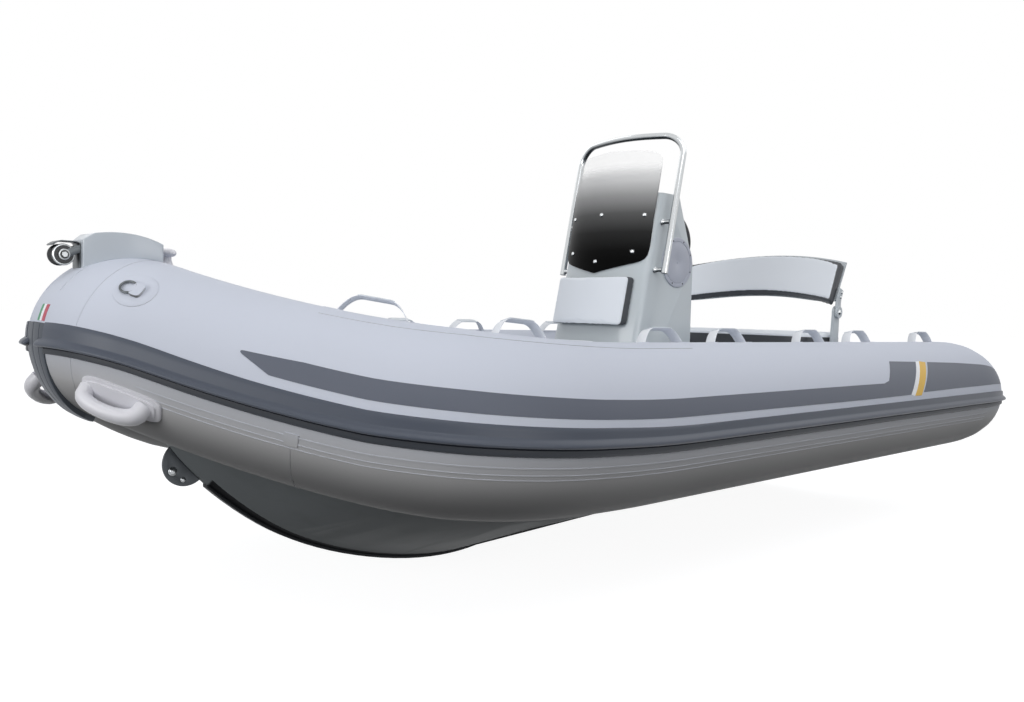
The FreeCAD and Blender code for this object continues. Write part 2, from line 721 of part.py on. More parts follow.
def windscreen():
    half = list(WINDSCREEN_EDGE)
    other = [(-y, z) for y, z in reversed(half[1:-1])]
    outline = ahead_prism(half + other)
    corners = []
    for edge in outline.Edges:
        middle = edge.CenterOfMass
        is_corner = middle.z in (WINDSCREEN_EDGE[1][1], WINDSCREEN_EDGE[-2][1])
        if edge.Length > CONSOLE_BOW and is_corner:
            corners.append(edge)
    return lean_skin(outline.makeFillet(WINDSCREEN_CORNER, corners), WINDSCREEN_THICKNESS)


def front_cushion():
    half = PAD_HALF_WIDTH
    outline = ahead_prism([(-half, PAD_LOW), (half, PAD_LOW), (half, PAD_HIGH), (-half, PAD_HIGH)])
    return lean_skin(outline, PAD_THICKNESS)


def rail_point(y, height):
    """The rail stands in a plane that leans back with the console's side edges."""
    return Vector(RAIL_FOOT_X - RAIL_LEAN * (height - RAIL_FOOT), y, height)


def grab_rail():
    up = (rail_point(0, RAIL_TOP) - rail_point(0, RAIL_FOOT)).normalize()
    normal = Vector(up.z, 0, -up.x)
    shoulder = along(rail_point(RAIL_HALF_WIDTH, RAIL_TOP), up, -RAIL_BEND)
    centre = along(shoulder, PORT, -RAIL_BEND)
    leg = cylinder_between(rail_point(RAIL_HALF_WIDTH, RAIL_FOOT), shoulder, RAIL_RADIUS)
    elbow = bent_bar(centre, PORT * RAIL_BEND, normal, 90, RAIL_RADIUS)
    corner = along(centre, up, RAIL_BEND)
    bar = cylinder_between(corner, Vector(corner.x, -corner.y, corner.z), RAIL_RADIUS)
    return bar.fuse([leg, elbow, mirrored(leg), mirrored(elbow)])


def rail_posts():
    """Short posts that stand the rail off the console's sides, saddled to it."""
    leg = cylinder_between(
        rail_point(RAIL_HALF_WIDTH, RAIL_FOOT), rail_point(RAIL_HALF_WIDTH, RAIL_TOP), RAIL_RADIUS)
    posts = []
    for rise_above in (LOW_POST, HIGH_POST):
        end = rail_point(RAIL_HALF_WIDTH, RAIL_FOOT + rise_above)
        start = Vector(end.x, CONSOLE_HALF_WIDTH, end.z)
        post = cylinder_between(start, end, POST_RADIUS).cut(leg)
        posts += [post, mirrored(post)]
    return Part.makeCompound(posts)


# ---- steering ----
def faceted_ring(centre, axis, way, radius, half, sides, angle=360):
    """A ring of even-sided section, flats square to its axis."""
    points = []
    for i in range(sides):
        a = 2 * math.pi * (i + 0.5) / sides
        reach = half / math.cos(math.pi / sides)
        points.append(centre + way * (radius + reach * math.cos(a)) + axis * (reach * math.sin(a)))
    return Part.Face(Part.makePolygon(points + [points[0]])).revolve(centre, axis, angle)


def helm_bezel():
    point, out, up = dash_axes()
    bezel = cylinder(point, out, BEZEL_RADIUS, BEZEL_THICKNESS)
    back = 3 * CONSOLE_WALL
    neck = cylinder(along(point, out, -back), out, NECK_RADIUS, HELM_REACH - HUB_RADIUS + back)
    bore = cylinder(along(point, out, -HELM_REACH), out, SHAFT_RADIUS + PIN_FIT, 3 * HELM_REACH)
    return bezel.fuse(neck).cut(bore)


def steering_wheel():
    point, out, up = dash_axes()
    centre = along(point, out, HELM_REACH)
    shaft = cylinder(along(point, out, -2 * CONSOLE_WALL), out, SHAFT_RADIUS, HELM_REACH + 2 * CONSOLE_WALL)
    hub = cylinder(along(centre, out, 4 - HUB_DEPTH), out, HUB_RADIUS, HUB_DEPTH)
    reach = WHEEL_RADIUS - RIM_RADIUS
    rim = faceted_ring(centre, out, up, reach, RIM_RADIUS, RIM_SIDES)
    spokes = []
    for angle in (0, 120, 240):
        way = FreeCAD.Rotation(out, angle).multVec(up)
        side = out.cross(way)
        root = along(centre, out, -HUB_DEPTH / 2)
        tip = along(centre, way, reach)
        sections = []
        for end, half in ((along(root, way, HUB_RADIUS / 2), SPOKE_ROOT), (tip, SPOKE_TIP)):
            low = end - side * half - out * (SPOKE_THICKNESS / 2)
            wide, deep = side * (2 * half), out * SPOKE_THICKNESS
            sections.append(Part.makePolygon([low, low + wide, low + wide + deep, low + deep, low]))
        spokes.append(Part.makeLoft(sections, True, True))
    return rim.fuse([shaft, hub] + spokes)


# ---- seats ----
def fillet_uprights(shape, x, radius):
    """Round the upright edges of a box at one of its ends."""
    corners = []
    for edge in shape.Edges:
        a, b = edge.Vertexes[0].Point, edge.Vertexes[-1].Point
        if abs(a.x - x) < 1 and abs(b.x - x) < 1 and abs(a.y - b.y) < 1:
            corners.append(edge)
    return shape.makeFillet(radius, corners)


def seat_form(inset, low, high):
    """The seat box's outside or inside; it runs back through the console's front."""
    form = box(
        Vector(CONSOLE_FRONT_X - SEAT_LAP, inset - SEAT_HALF_WIDTH, low),
        Vector(SEAT_FRONT_X - inset, SEAT_HALF_WIDTH - inset, high),
    )
    return fillet_uprights(form, SEAT_FRONT_X - inset, SEAT_CORNER - inset)


def seat_box():
    """Three walls; the console's front closes the fourth side."""
    walls = seat_form(0, SOLE_HEIGHT, SEAT_TOP).cut(seat_form(SEAT_WALL, SOLE_HEIGHT - 1, SEAT_TOP + 1))
    return walls.cut(console_form(-CONSOLE_FIT))


def seat_slab(back, low, high):
    slab = box(Vector(back, -SEAT_HALF_WIDTH, low), Vector(SEAT_FRONT_X, SEAT_HALF_WIDTH, high))
    return fillet_uprights(slab, SEAT_FRONT_X, SEAT_CORNER)


def seat_lid():
    low = SEAT_TOP + CLEARANCE
    back = CONSOLE_FRONT_X + LID_SETBACK
    barrel = across(back + 2 - HINGE_RADIUS, low + HINGE_RADIUS, HINGE_RADIUS, SEAT_HALF_WIDTH - SEAT_CORNER)
    return seat_slab(back, low, low + LID_THICKNESS).fuse(barrel)


def seat_cushion():
    low = SEAT_TOP + CLEARANCE + LID_THICKNESS
    return seat_slab(CONSOLE_FRONT_X + LID_SETBACK + CUSHION_SETBACK, low, low + CUSHION_THICKNESS)


BENCH_BACK_X = TRANSOM_X + BENCH_AHEAD
BENCH_FRONT_X = BENCH_BACK_X + BENCH_LENGTH


def bench_box():
    outer = box(
        Vector(BENCH_BACK_X, -BENCH_HALF_WIDTH, SOLE_HEIGHT),
        Vector(BENCH_FRONT_X, BENCH_HALF_WIDTH, BENCH_TOP),
    )
    inner = box(
        Vector(BENCH_BACK_X + SEAT_WALL, SEAT_WALL - BENCH_HALF_WIDTH, SOLE_HEIGHT - 1),
        Vector(BENCH_FRONT_X - SEAT_WALL, BENCH_HALF_WIDTH - SEAT_WALL, BENCH_TOP - SEAT_WALL),
    )
    door_way = box(
        Vector(BENCH_FRONT_X - 2 * SEAT_WALL, -BENCH_DOOR_HALF_WIDTH, BENCH_DOOR_LOW),
        Vector(BENCH_FRONT_X + SEAT_WALL, BENCH_DOOR_HALF_WIDTH, BENCH_DOOR_HIGH),
    )
    return outer.cut([inner, door_way])


def bench_door():
    gap = CLEARANCE
    half = BENCH_DOOR_HALF_WIDTH - gap
    panel = box(
        Vector(BENCH_FRONT_X - SEAT_WALL, -half, BENCH_DOOR_LOW + gap),
        Vector(BENCH_FRONT_X, half, BENCH_DOOR_HIGH - gap),
    )
    low = BENCH_DOOR_LOW + 2 * gap
    barrel = across(BENCH_FRONT_X + HINGE_RADIUS + 1, low, HINGE_RADIUS, half - 3 * gap)
    leaf = box(
        Vector(BENCH_FRONT_X, 3 * gap - half, low),
        Vector(BENCH_FRONT_X + LEAF_THICKNESS, half - 3 * gap, low + LEAF_WIDTH),
    )
    return panel.fuse([barrel, leaf])


def bench_cushion():
    half = BENCH_HALF_WIDTH
    front = BENCH_FRONT_X - BENCH_OVERHANG
    back = BENCH_BACK_X + BENCH_SETBACK
    corners = [(back, -half), (back, half), (front + BENCH_SWEEP, half), (front + BENCH_SWEEP, -half)]
    points = [Vector(x, y, BENCH_TOP) for x, y in corners]
    path = [points[3], points[0], points[1], points[2]]
    edges = [Part.makeLine(a, b) for a, b in zip(path, path[1:])]
    edges.append(Part.Arc(points[2], Vector(front, 0, BENCH_TOP), points[3]).toShape())
    return Part.Face(Part.Wire(edges)).extrude(UP * BENCH_CUSHION)


# ---- backrest ----
PIVOT = Vector(BENCH_BACK_X + PIVOT_AHEAD, 0, PIVOT_HEIGHT)
LOWER_ARM_Y = BENCH_HALF_WIDTH
BACKREST_HALF_WIDTH = BENCH_HALF_WIDTH + BACKREST_OVERHANG
UPPER_ARM_Y = LOWER_ARM_Y + ARM_THICKNESS + ARM_GAP


def bowed_slab(back, front):
    """A slab between two offsets from the backrest's face, bowed in plan and arched in height."""
    top = PIVOT + Vector(BACKREST_TOP[0], 0, BACKREST_TOP[1])
    foot = PIVOT + Vector(BACKREST_FOOT[0], 0, BACKREST_FOOT[1])
    up = (top - foot).normalize()
    out = Vector(up.z, 0, -up.x)
    middle = (top + foot) * 0.5 - up * TUBE_RADIUS
    wide = PORT * BACKREST_HALF_WIDTH
    rear, fore = [], []
    for off, plan in ((back, rear), (front, fore)):
        centre = along(middle, out, off)
        end = along(centre, out, BACKREST_SWEEP)
        plan += [end - wide, centre, end + wide]
    edges = [
        Part.Arc(*rear).toShape(),
        Part.makeLine(rear[2], fore[2]),
        Part.Arc(fore[2], fore[1], fore[0]).toShape(),
        Part.makeLine(fore[0], rear[0]),
    ]
    bow = Part.Face(Part.Wire(edges)).extrude(up * (2 * TUBE_RADIUS))
    drop = UP * BACKREST_DROP
    high = [top - wide - drop, top, top + wide - drop]
    low = [foot + wide - drop, foot, foot - wide - drop]
    for point in high + low:
        point.x = -FAR
    arch = [
        Part.Arc(*high).toShape(),
        Part.makeLine(high[2], low[0]),
        Part.Arc(*low).toShape(),
        Part.makeLine(low[2], high[0]),
    ]
    return bow.common(Part.Face(Part.Wire(arch)).extrude(AHEAD * FAR))


def backrest_cushion():
    return bowed_slab(-BACKREST_PAD, 0)


def backrest_shell():
    """The moulded back with the two arms it swings on."""
    slab = bowed_slab(-BACKREST_PAD - BACKREST_SHELL, -BACKREST_PAD)
    knuckle = cylinder(PIVOT + PORT * UPPER_ARM_Y, PORT, KNUCKLE_RADIUS, ARM_THICKNESS)
    half = KNUCKLE_RADIUS - 2
    x, z = BACKREST_FOOT
    fore, aft, up = ARM_HEAD
    way = [(-half, 0), (half, 0), (x + fore, z + up), (x - aft, z + up)]
    arm = prism([PIVOT + Vector(x, UPPER_ARM_Y, z) for x, z in way], PORT * ARM_THICKNESS)
    low, high = EAR
    ear = box(
        PIVOT + Vector(x + low[0], BACKREST_HALF_WIDTH - KNUCKLE_RADIUS, z + low[1]),
        PIVOT + Vector(x + high[0], UPPER_ARM_Y + EAR_BITE, z + high[1]),
    )
    pin = cylinder(PIVOT + PORT * (LOWER_ARM_Y - ARM_GAP), PORT, KNUCKLE_PIN, 2 * ARM_THICKNESS)
    arm = arm.fuse([knuckle, ear, pin]).cut(backrest_cushion())
    return slab.fuse([arm, mirrored(arm)])


def backrest_arms():
    """The fixed arms, on the sides of the bench."""
    half = KNUCKLE_RADIUS - 2
    foot = BENCH_TOP - ARM_LAP - PIVOT_HEIGHT
    shape = [(-half, 0), (half, 0), (2 * half, foot), (2 * half - ARM_FOOT_WIDTH, foot)]
    arm = prism([PIVOT + Vector(x, LOWER_ARM_Y, z) for x, z in shape], PORT * ARM_THICKNESS)
    knuckle = cylinder(PIVOT + PORT * LOWER_ARM_Y, PORT, KNUCKLE_RADIUS, ARM_THICKNESS)
    bore = across(PIVOT.x, PIVOT.z, KNUCKLE_PIN + PIN_FIT, UPPER_ARM_Y + ARM_THICKNESS)
    arm = arm.fuse(knuckle).cut(bore)
    return Part.makeCompound([arm, mirrored(arm)])


# ---- bow locker ----
def lid_outline(inset, height):
    """The lid's plan, drawn in by an inset on every side."""
    first, *middle, last = LID_PLAN
    plan = [(first[0] + inset, first[1] - inset)]
    plan += [(x, y - inset) for x, y in middle]
    plan.append((last[0] - inset, last[1] - inset))
    points = [Vector(LOCKER_AFT_X + x, y, height) for x, y in plan]
    return points + [Vector(p.x, -p.y, p.z) for p in reversed(points)]


def bow_locker(hull, collar):
    """A bulkhead from tube to tube, and the deck it carries, with the lid's opening."""
    foot = SOLE_HEIGHT - SOLE_THICKNESS
    bulkhead = box(
        Vector(LOCKER_AFT_X, -TUBE_SPACING, foot),
        Vector(LOCKER_AFT_X + LOCKER_WALL, TUBE_SPACING, LOCKER_TOP),
    )
    deck = box(
        Vector(LOCKER_AFT_X, -TUBE_SPACING, LOCKER_TOP - LOCKER_DECK),
        Vector(BOW.x - LOCKER_FORE, TUBE_SPACING, LOCKER_TOP),
    )
    opening = prism(lid_outline(LOCKER_RIM, LOCKER_TOP - 2 * LOCKER_DECK), UP * (4 * LOCKER_DECK))
    return largest(bulkhead.fuse(deck).cut(opening).cut(collar + [hull]))


def bow_locker_lid():
    low = LOCKER_TOP + CLEARANCE
    lid = prism(lid_outline(0, low), UP * LID_THICKNESS)
    return lid.fuse(across(LOCKER_AFT_X - HINGE_RADIUS + 1, low + HINGE_RADIUS, HINGE_RADIUS, LID_BARREL))


# ---- bow fittings ----
ROLLER = BOW + Vector(ROLLER_AHEAD, 0, ROLLER_ABOVE)
STEP_FRONT_X = ROLLER.x - STEP_FACE
STEP_AFT_X = STEP_FRONT_X - STEP_LENGTH


def nose_step(collar):
    """The moulded step that fairs the roller into the nose, narrow in front."""
    low = ROLLER.z - STEP_SKIRT
    middle = ((STEP_FRONT_X + STEP_AFT_X) / 2, (STEP_FRONT_HALF + STEP_AFT_HALF) / 2 + STEP_BOW)
    plan = [(STEP_FRONT_X, STEP_FRONT_HALF), middle, (STEP_AFT_X, STEP_AFT_HALF)]
    port = [Vector(x, y, low) for x, y in plan]
    starboard = [Vector(x, -y, low) for x, y in reversed(plan)]
    outline = [
        Part.Arc(*port).toShape(),
        Part.makeLine(port[2], starboard[0]),
        Part.Arc(*starboard).toShape(),
        Part.makeLine(starboard[2], port[0]),
    ]
    block = Part.Face(Part.Wire(outline)).extrude(UP * (STEP_SKIRT + 2 * STEP_CROWN))
    top = [
        Vector(STEP_FRONT_X - STEP_NOSING, -FAR, ROLLER.z + STEP_CROWN - 4),
        Vector((STEP_FRONT_X + STEP_AFT_X) / 2, -FAR, ROLLER.z + STEP_CROWN),
        Vector(STEP_AFT_X, -FAR, ROLLER.z + STEP_AFT_RISE),
    ]
    front = [Vector(STEP_FRONT_X, -FAR, z) for z in (low, ROLLER.z + STEP_RISE)]
    after = Vector(STEP_AFT_X, -FAR, low)
    side = [
        Part.makeLine(after, front[0]),
        Part.makeLine(front[0], front[1]),
        Part.makeLine(front[1], top[0]),
        Part.Arc(*top).toShape(),
        Part.makeLine(top[2], after),
    ]
    fair = Part.Face(Part.Wire(side)).extrude(PORT * (2 * FAR))
    return largest(block.common(fair).cut(collar))


def roller_bracket():
    """Two cheeks on the step's front with a hood between them and the roller's pin through."""
    reach = ROLLER_RADIUS + CHEEK_MARGIN
    top = Vector(0, 0, reach)
    front = Vector(reach, 0, 0)
    low = Vector(reach * math.sin(math.radians(150)), 0, reach * math.cos(math.radians(150)))
    foot = Vector(-STEP_FACE, 0, low.z + 2)
    head = Vector(-STEP_FACE, 0, STEP_RISE - 3)
    edges = [
        Part.makeLine(foot, head),
        Part.makeLine(head, top),
        Part.Arc(top, front, low).toShape(),
        Part.makeLine(low, foot),
    ]
    cheek = Part.Face(Part.Wire(edges)).extrude(PORT * CHEEK_THICKNESS)
    side = ROLLER_HALF_WIDTH + CHEEK_GAP
    cheek.translate(ROLLER + PORT * side)
    hood = box(
        ROLLER + Vector(-STEP_FACE, -side, STEP_RISE - 3 - 2 * CHEEK_THICKNESS),
        ROLLER + Vector(-STEP_FACE / 2, side, STEP_RISE - 3 - CHEEK_THICKNESS),
    )
    pin = across(ROLLER.x, ROLLER.z, ROLLER_PIN, side + CHEEK_THICKNESS + PIN_HEAD)
    return cheek.fuse([mirrored(cheek), hood, pin])


def bow_roller():
    width = ROLLER_HALF_WIDTH
    bore = ROLLER_PIN + PIN_FIT
    waist = width - ROLLER_FLANGE
    half = [(ROLLER_WAIST, waist), (ROLLER_RADIUS, waist), (ROLLER_RADIUS, width), (bore, width)]
    profile = [(r, -y) for r, y in reversed(half)] + half
    points = [ROLLER + Vector(r, y, 0) for r, y in profile]
    return Part.Face(Part.makePolygon(points + [points[0]])).revolve(ROLLER, PORT, 360)


def bow_cleat(collar):
    """A horn cleat athwart the nose, behind the step."""
    foot = Vector(STEP_AFT_X - CLEAT_SETBACK, 0, ROLLER.z)
    horn = across(foot.x, foot.z + CLEAT_RISE - CLEAT_HORN, CLEAT_HORN, CLEAT_HALF_LENGTH)
    stems = []
    for side in (1, -1):
        low = foot + PORT * (side * CLEAT_STEM_GAP) - UP * STEP_SKIRT
        stems.append(cylinder(low, UP, CLEAT_HORN, STEP_SKIRT + CLEAT_RISE - CLEAT_HORN))
    base = box(
        foot - Vector(CLEAT_BASE[0], CLEAT_BASE[1], STEP_SKIRT),
        foot + Vector(CLEAT_BASE[0], CLEAT_BASE[1], CLEAT_BASE_RISE),
    )
    return largest(horn.fuse(stems + [base]).cut(collar))


# ---- webbing and fittings on the collar ----
def on_collar(distance, angle, gap):
    """A point just off the side tube, which runs straight between its sections."""
    stations = [TUBE_AFT_X - BEND_X] + bow_stations()
    low, high = [pair for pair in zip(stations, stations[1:]) if distance >= pair[0]][-1]
    start, end = [around(frame, angle, frame[4] + gap) for frame in (tube_frame(low), tube_frame(high))]
    return start + (end - start) * ((distance - low) / (high - low))


def strap(distance):
    """A webbing loop between two points of the tube: two legs that lean in and a flat top."""
    half = LOOP_CHORD / 2
    start, end = [on_collar(distance + reach, LOOP_ANGLE, STRAP_GAP) for reach in (-half, half)]
    way = end.sub(start).normalize()
    wide = way.cross(radial_way(tube_frame(distance), LOOP_ANGLE)).normalize()
    radial = wide.cross(way)
    base = (start + end) * 0.5 - wide * (STRAP_WIDTH / 2)
    half = end.sub(start).Length / 2
    inner = STRAP_THICKNESS * math.hypot(LOOP_HEIGHT, STRAP_FOOT) / LOOP_HEIGHT
    top = LOOP_HEIGHT - STRAP_THICKNESS
    lean = STRAP_FOOT * top / LOOP_HEIGHT
    outline = [
        (-half, 0), (STRAP_FOOT - half, LOOP_HEIGHT), (half - STRAP_FOOT, LOOP_HEIGHT), (half, 0),
        (half - inner, 0), (half - inner - lean, top), (inner + lean - half, top), (inner - half, 0),
    ]
    return prism([base + way * t + radial * h for t, h in outline], wide * STRAP_WIDTH)


def grab_loops():
    aft = [TUBE_AFT_X - BEND_X + ahead for ahead in AFT_GRAB_LOOPS]
    return Part.makeCompound([strap(distance) for distance in list(GRAB_LOOPS) + aft])


def carry_handle(carriers):
    """A rubber handle: a base plate with an arched grip over it."""
    frame = tube_frame(LEG_END - HANDLE_BACK)
    radial = radial_way(frame, HANDLE_ANGLE)
    side = frame[1].cross(radial)
    length, half, thick = HANDLE_BASE
    base = along(frame[0], radial, frame[4] - thick / 2)
    corners = [(-length, -half), (length, -half), (length, half), (-length, half)]
    plate = prism([base + frame[1] * t + side * w for t, w in corners], radial * thick)
    reach, narrow, height = HANDLE_GRIP
    inner = height - HANDLE_GRIP_THICKNESS
    start = base - side * narrow
    outer = [start + frame[1] * -reach, start + radial * height, start + frame[1] * reach]
    foot = frame[1] * (reach - HANDLE_LEG)
    hollow = [start + foot, start + radial * inner, start - foot]
    edges = [
        Part.Arc(*outer).toShape(),
        Part.makeLine(outer[2], hollow[0]),
        Part.Arc(*hollow).toShape(),
        Part.makeLine(hollow[2], outer[0]),
    ]
    grip = Part.Face(Part.Wire(edges)).extrude(side * (2 * narrow))
    return plate.fuse(grip).cut(carriers)


def d_ring(carriers):
    """A ring on a round patch that follows the tube where its nose begins."""
    frame = nose_frame(PATCH_TURN)
    radial = radial_way(frame, PATCH_ANGLE)
    punch = cylinder(frame[0], radial, PATCH_RADIUS, 2 * NOSE_RADIUS)
    leg = [ring(tube_frame(distance), PATCH_THICKNESS) for distance in bow_stations()[-2:]]
    nose = [nose_wire(nose_frame(NOSE_ANGLE * i / NOSE_SPANS), PATCH_THICKNESS) for i in range(3)]
    skin = Part.makeLoft(leg, True, True).fuse(Part.makeLoft(nose, True, True))
    patch = skin.common(punch).cut(carriers)
    way = radial_way(frame, RING_ANGLE)
    seat = along(frame[0], way, NOSE_RADIUS + PATCH_THICKNESS + RING_WIRE / 2)
    loop = faceted_ring(seat, way, frame[1], RING_RADIUS, RING_WIRE, RING_SIDES)
    return largest(patch.fuse(loop).cut(carriers))


def write(name, shape):
    """One STEP file per node."""
    shape.exportStep("parts/" + name + ".step")
    print(name, shape.isValid(), len(shape.Solids), round(shape.Volume / 1e6, 3))


def main():
    os.makedirs("parts", exist_ok=True)
    port = collar_side()
    starboard = mirrored(port)
    nose = collar_nose()
    collar = [port, starboard, nose]
    cone = stern_cone()
    strake = strake_side([port, nose])
    hull = hull_moulding(collar)
    loops = grab_loops()
    handle = carry_handle([port, nose])
    ring_pad = d_ring([port, nose])
    nodes = {
        "hull": hull,
        "keel_guard": keel_guard(hull),
        "stem_tow_plate": tow_plate(hull, collar),
        "deck_sole": deck_sole(collar),
        "transom": transom(collar),
        "collar_port": port,
        "collar_starboard": starboard,
        "collar_nose": nose,
        "stern_cone_port": cone,
        "stern_cone_starboard": mirrored(cone),
        "rubbing_strake_port": strake,
        "rubbing_strake_starboard": mirrored(strake),
        "bow_strip": centre_strip(collar),
        "grab_loops_port": loops,
        "grab_loops_starboard": mirrored(loops),
        "carry_handles": Part.makeCompound([handle, mirrored(handle)]),
        "d_rings": Part.makeCompound([ring_pad, mirrored(ring_pad)]),
        "nose_step": nose_step(collar),
        "roller_bracket": roller_bracket(),
        "bow_roller": bow_roller(),
        "bow_cleat": bow_cleat(collar),
        "bow_locker": bow_locker(hull, collar),
        "bow_locker_lid": bow_locker_lid(),
        "console_shell": console_shell(),
        "console_door": console_door(),
        "inspection_covers": inspection_covers(),
        "switch_panel": switch_panel(),
        "windscreen": windscreen(),
        "grab_rail": grab_rail(),
        "rail_posts": rail_posts(),
        "front_cushion": front_cushion(),
        "helm_bezel": helm_bezel(),
        "steering_wheel": steering_wheel(),
        "front_seat_box": seat_box(),
        "front_seat_lid": seat_lid(),
        "front_seat_cushion": seat_cushion(),
        "bench_box": bench_box(),
        "bench_door": bench_door(),
        "bench_cushion": bench_cushion(),
        "backrest_arms": backrest_arms(),
        "backrest_shell": backrest_shell(),
        "backrest_cushion": backrest_cushion(),
    }
    for name, shape in nodes.items():
        write(name, shape)


main()
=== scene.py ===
import math

import bmesh
import bpy
from bpy.props import FloatProperty, FloatVectorProperty, IntProperty, PointerProperty
from mathutils import Matrix, Vector


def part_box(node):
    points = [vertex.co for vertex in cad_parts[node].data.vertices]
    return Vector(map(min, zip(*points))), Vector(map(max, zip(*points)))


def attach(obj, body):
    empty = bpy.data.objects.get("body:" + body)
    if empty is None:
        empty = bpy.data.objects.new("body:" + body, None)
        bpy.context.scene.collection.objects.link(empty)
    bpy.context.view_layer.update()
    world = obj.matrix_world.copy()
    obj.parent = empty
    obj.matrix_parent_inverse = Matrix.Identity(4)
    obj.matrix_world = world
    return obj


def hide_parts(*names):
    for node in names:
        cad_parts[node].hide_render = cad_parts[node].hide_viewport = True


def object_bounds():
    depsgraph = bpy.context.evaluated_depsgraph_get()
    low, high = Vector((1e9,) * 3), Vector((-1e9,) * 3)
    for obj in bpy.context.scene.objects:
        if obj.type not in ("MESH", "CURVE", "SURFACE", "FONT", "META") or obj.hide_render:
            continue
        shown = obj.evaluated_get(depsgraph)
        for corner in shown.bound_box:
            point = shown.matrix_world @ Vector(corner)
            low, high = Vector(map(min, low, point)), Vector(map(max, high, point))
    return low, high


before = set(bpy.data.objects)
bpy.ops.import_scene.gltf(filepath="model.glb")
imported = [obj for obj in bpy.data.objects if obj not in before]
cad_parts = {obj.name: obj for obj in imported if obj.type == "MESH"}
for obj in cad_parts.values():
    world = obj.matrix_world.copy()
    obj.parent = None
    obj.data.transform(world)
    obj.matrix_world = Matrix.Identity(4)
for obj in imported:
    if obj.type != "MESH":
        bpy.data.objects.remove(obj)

bl_info = {
    "name": "Rigid Inflatable Boat",
    "version": (1, 0, 0),
    "blender": (4, 5, 0),
    "location": "3D View > Sidebar > Boat",
    "description": "Builds the visible surfaces of a rigid inflatable boat over its fixed frame",
    "category": "Add Mesh",
}

CAD_BOX = [list(corner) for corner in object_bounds()]


# ---- helpers for nodes, colours and meshes ----
def linear(code):
    """A hex sRGB colour as linear red, green, blue and alpha."""
    parts = [int(code[i:i + 2], 16) / 255 for i in (1, 3, 5)]
    return [p / 12.92 if p <= 0.04045 else ((p + 0.055) / 1.055) ** 2.4 for p in parts] + [1.0]


def add_node(tree, kind, values=None, links=None, **settings):
    """Adds a node with its settings, its sockets' values and its links."""
    node = tree.nodes.new(kind)
    for key, value in settings.items():
        setattr(node, key, value)
    for socket, value in (values or {}).items():
        node.inputs[socket].default_value = value
    for socket, source in (links or {}).items():
        tree.links.new(source, node.inputs[socket])
    return node


def bare(name):
    """A material with no nodes yet."""
    made = bpy.data.materials.new(name)
    made.use_nodes = True
    made.node_tree.nodes.clear()
    return made


def finish(name, colour, roughness, grain, relief, mottle, sockets=None, grime=0.0):
    """A painted, moulded or coated surface: its colour drifts, and a fine grain breaks its gloss.

    The colour is a hex code or the name of one of the boat's own colours. Grain and relief are in metres.
    """
    made = bare(name)
    tree = made.node_tree
    base = (linear(colour) if colour.startswith("#") else list(getattr(colours(), colour)))[:3]
    dark = [c * (1 - mottle) for c in base] + [1.0]
    light = [min(c * (1 + mottle), 1.0) for c in base] + [1.0]
    place = add_node(tree, "ShaderNodeTexCoord").outputs["Object"]
    drift = add_node(tree, "ShaderNodeTexNoise", {"Scale": 2.3, "Detail": 4.0}, {"Vector": place})
    tint = add_node(tree, "ShaderNodeMix", {6: dark, 7: light}, {"Factor": drift.outputs["Fac"]}, data_type="RGBA")
    fine = add_node(tree, "ShaderNodeTexNoise", {"Scale": 1 / grain, "Detail": 2.0}, {"Vector": place})
    gloss = add_node(
        tree, "ShaderNodeMapRange",
        {"To Min": max(roughness - 0.05, 0.02), "To Max": roughness + 0.05}, {"Value": drift.outputs["Fac"]})
    bump = add_node(tree, "ShaderNodeBump", {"Strength": 0.6, "Distance": relief}, {"Height": fine.outputs["Fac"]})
    surface = add_node(
        tree, "ShaderNodeBsdfPrincipled", sockets,
        {"Base Color": tint.outputs[2], "Roughness": gloss.outputs["Result"], "Normal": bump.outputs["Normal"]})
    add_node(tree, "ShaderNodeOutputMaterial", None, {"Surface": surface.outputs["BSDF"]})
    if grime:
        patches = add_node(tree, "ShaderNodeTexNoise", {"Scale": 9.0, "Detail": 6.0}, {"Vector": place})
        amount = add_node(
            tree, "ShaderNodeMapRange", {"From Min": 0.52, "From Max": 0.75, "To Min": 0.0, "To Max": grime},
            {"Value": patches.outputs["Fac"]})
        overlay(made, [c * 0.55 for c in base], amount.outputs["Result"])
    return made


_finishes = {}


def material(kind):
    """The finish of a given kind, made once."""
    if kind not in _finishes:
        row = FINISHES[kind]
        _finishes[kind] = row() if callable(row) else finish(*row)
    return _finishes[kind]


def piece(name, points, faces, kind, body, replaced=(), smooth=40.0, slot=None):
    """A mesh object in the boat's frame, with its finish, that rides on a body."""
    mesh = bpy.data.meshes.new(name)
    mesh.from_pydata([tuple(p) for p in points], [], faces)
    mesh.validate()
    kinds = kind if isinstance(kind, (list, tuple)) else [kind]
    for one in kinds:
        mesh.materials.append(material(one))
    obj = bpy.data.objects.new(name, mesh)
    bpy.context.scene.collection.objects.link(obj)
    settle(obj, smooth)
    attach(obj, body)
    if replaced:
        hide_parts(*replaced)
    return obj


def settle(obj, smooth):
    """Merges doubles, turns the faces outwards and smooths them up to an angle."""
    work = bmesh.new()
    work.from_mesh(obj.data)
    bmesh.ops.remove_doubles(work, verts=work.verts, dist=1e-5)
    bmesh.ops.dissolve_degenerate(work, edges=work.edges, dist=1e-6)
    bmesh.ops.recalc_face_normals(work, faces=work.faces)
    work.to_mesh(obj.data)
    work.free()
    obj.data.shade_smooth()
    obj.data.set_sharp_from_angle(angle=math.radians(smooth))


def grid(rows, closed_rows=False, closed_columns=False, start=0):
    """Faces between rows of points that are numbered one after another."""
    count = len(rows)
    wide = len(rows[0])
    faces = []
    for i in range(count if closed_rows else count - 1):
        for j in range(wide if closed_columns else wide - 1):
            a, b = start + i * wide, start + (i + 1) % count * wide
            k = (j + 1) % wide
            faces.append((a + j, a + k, b + k, b + j))
    return faces


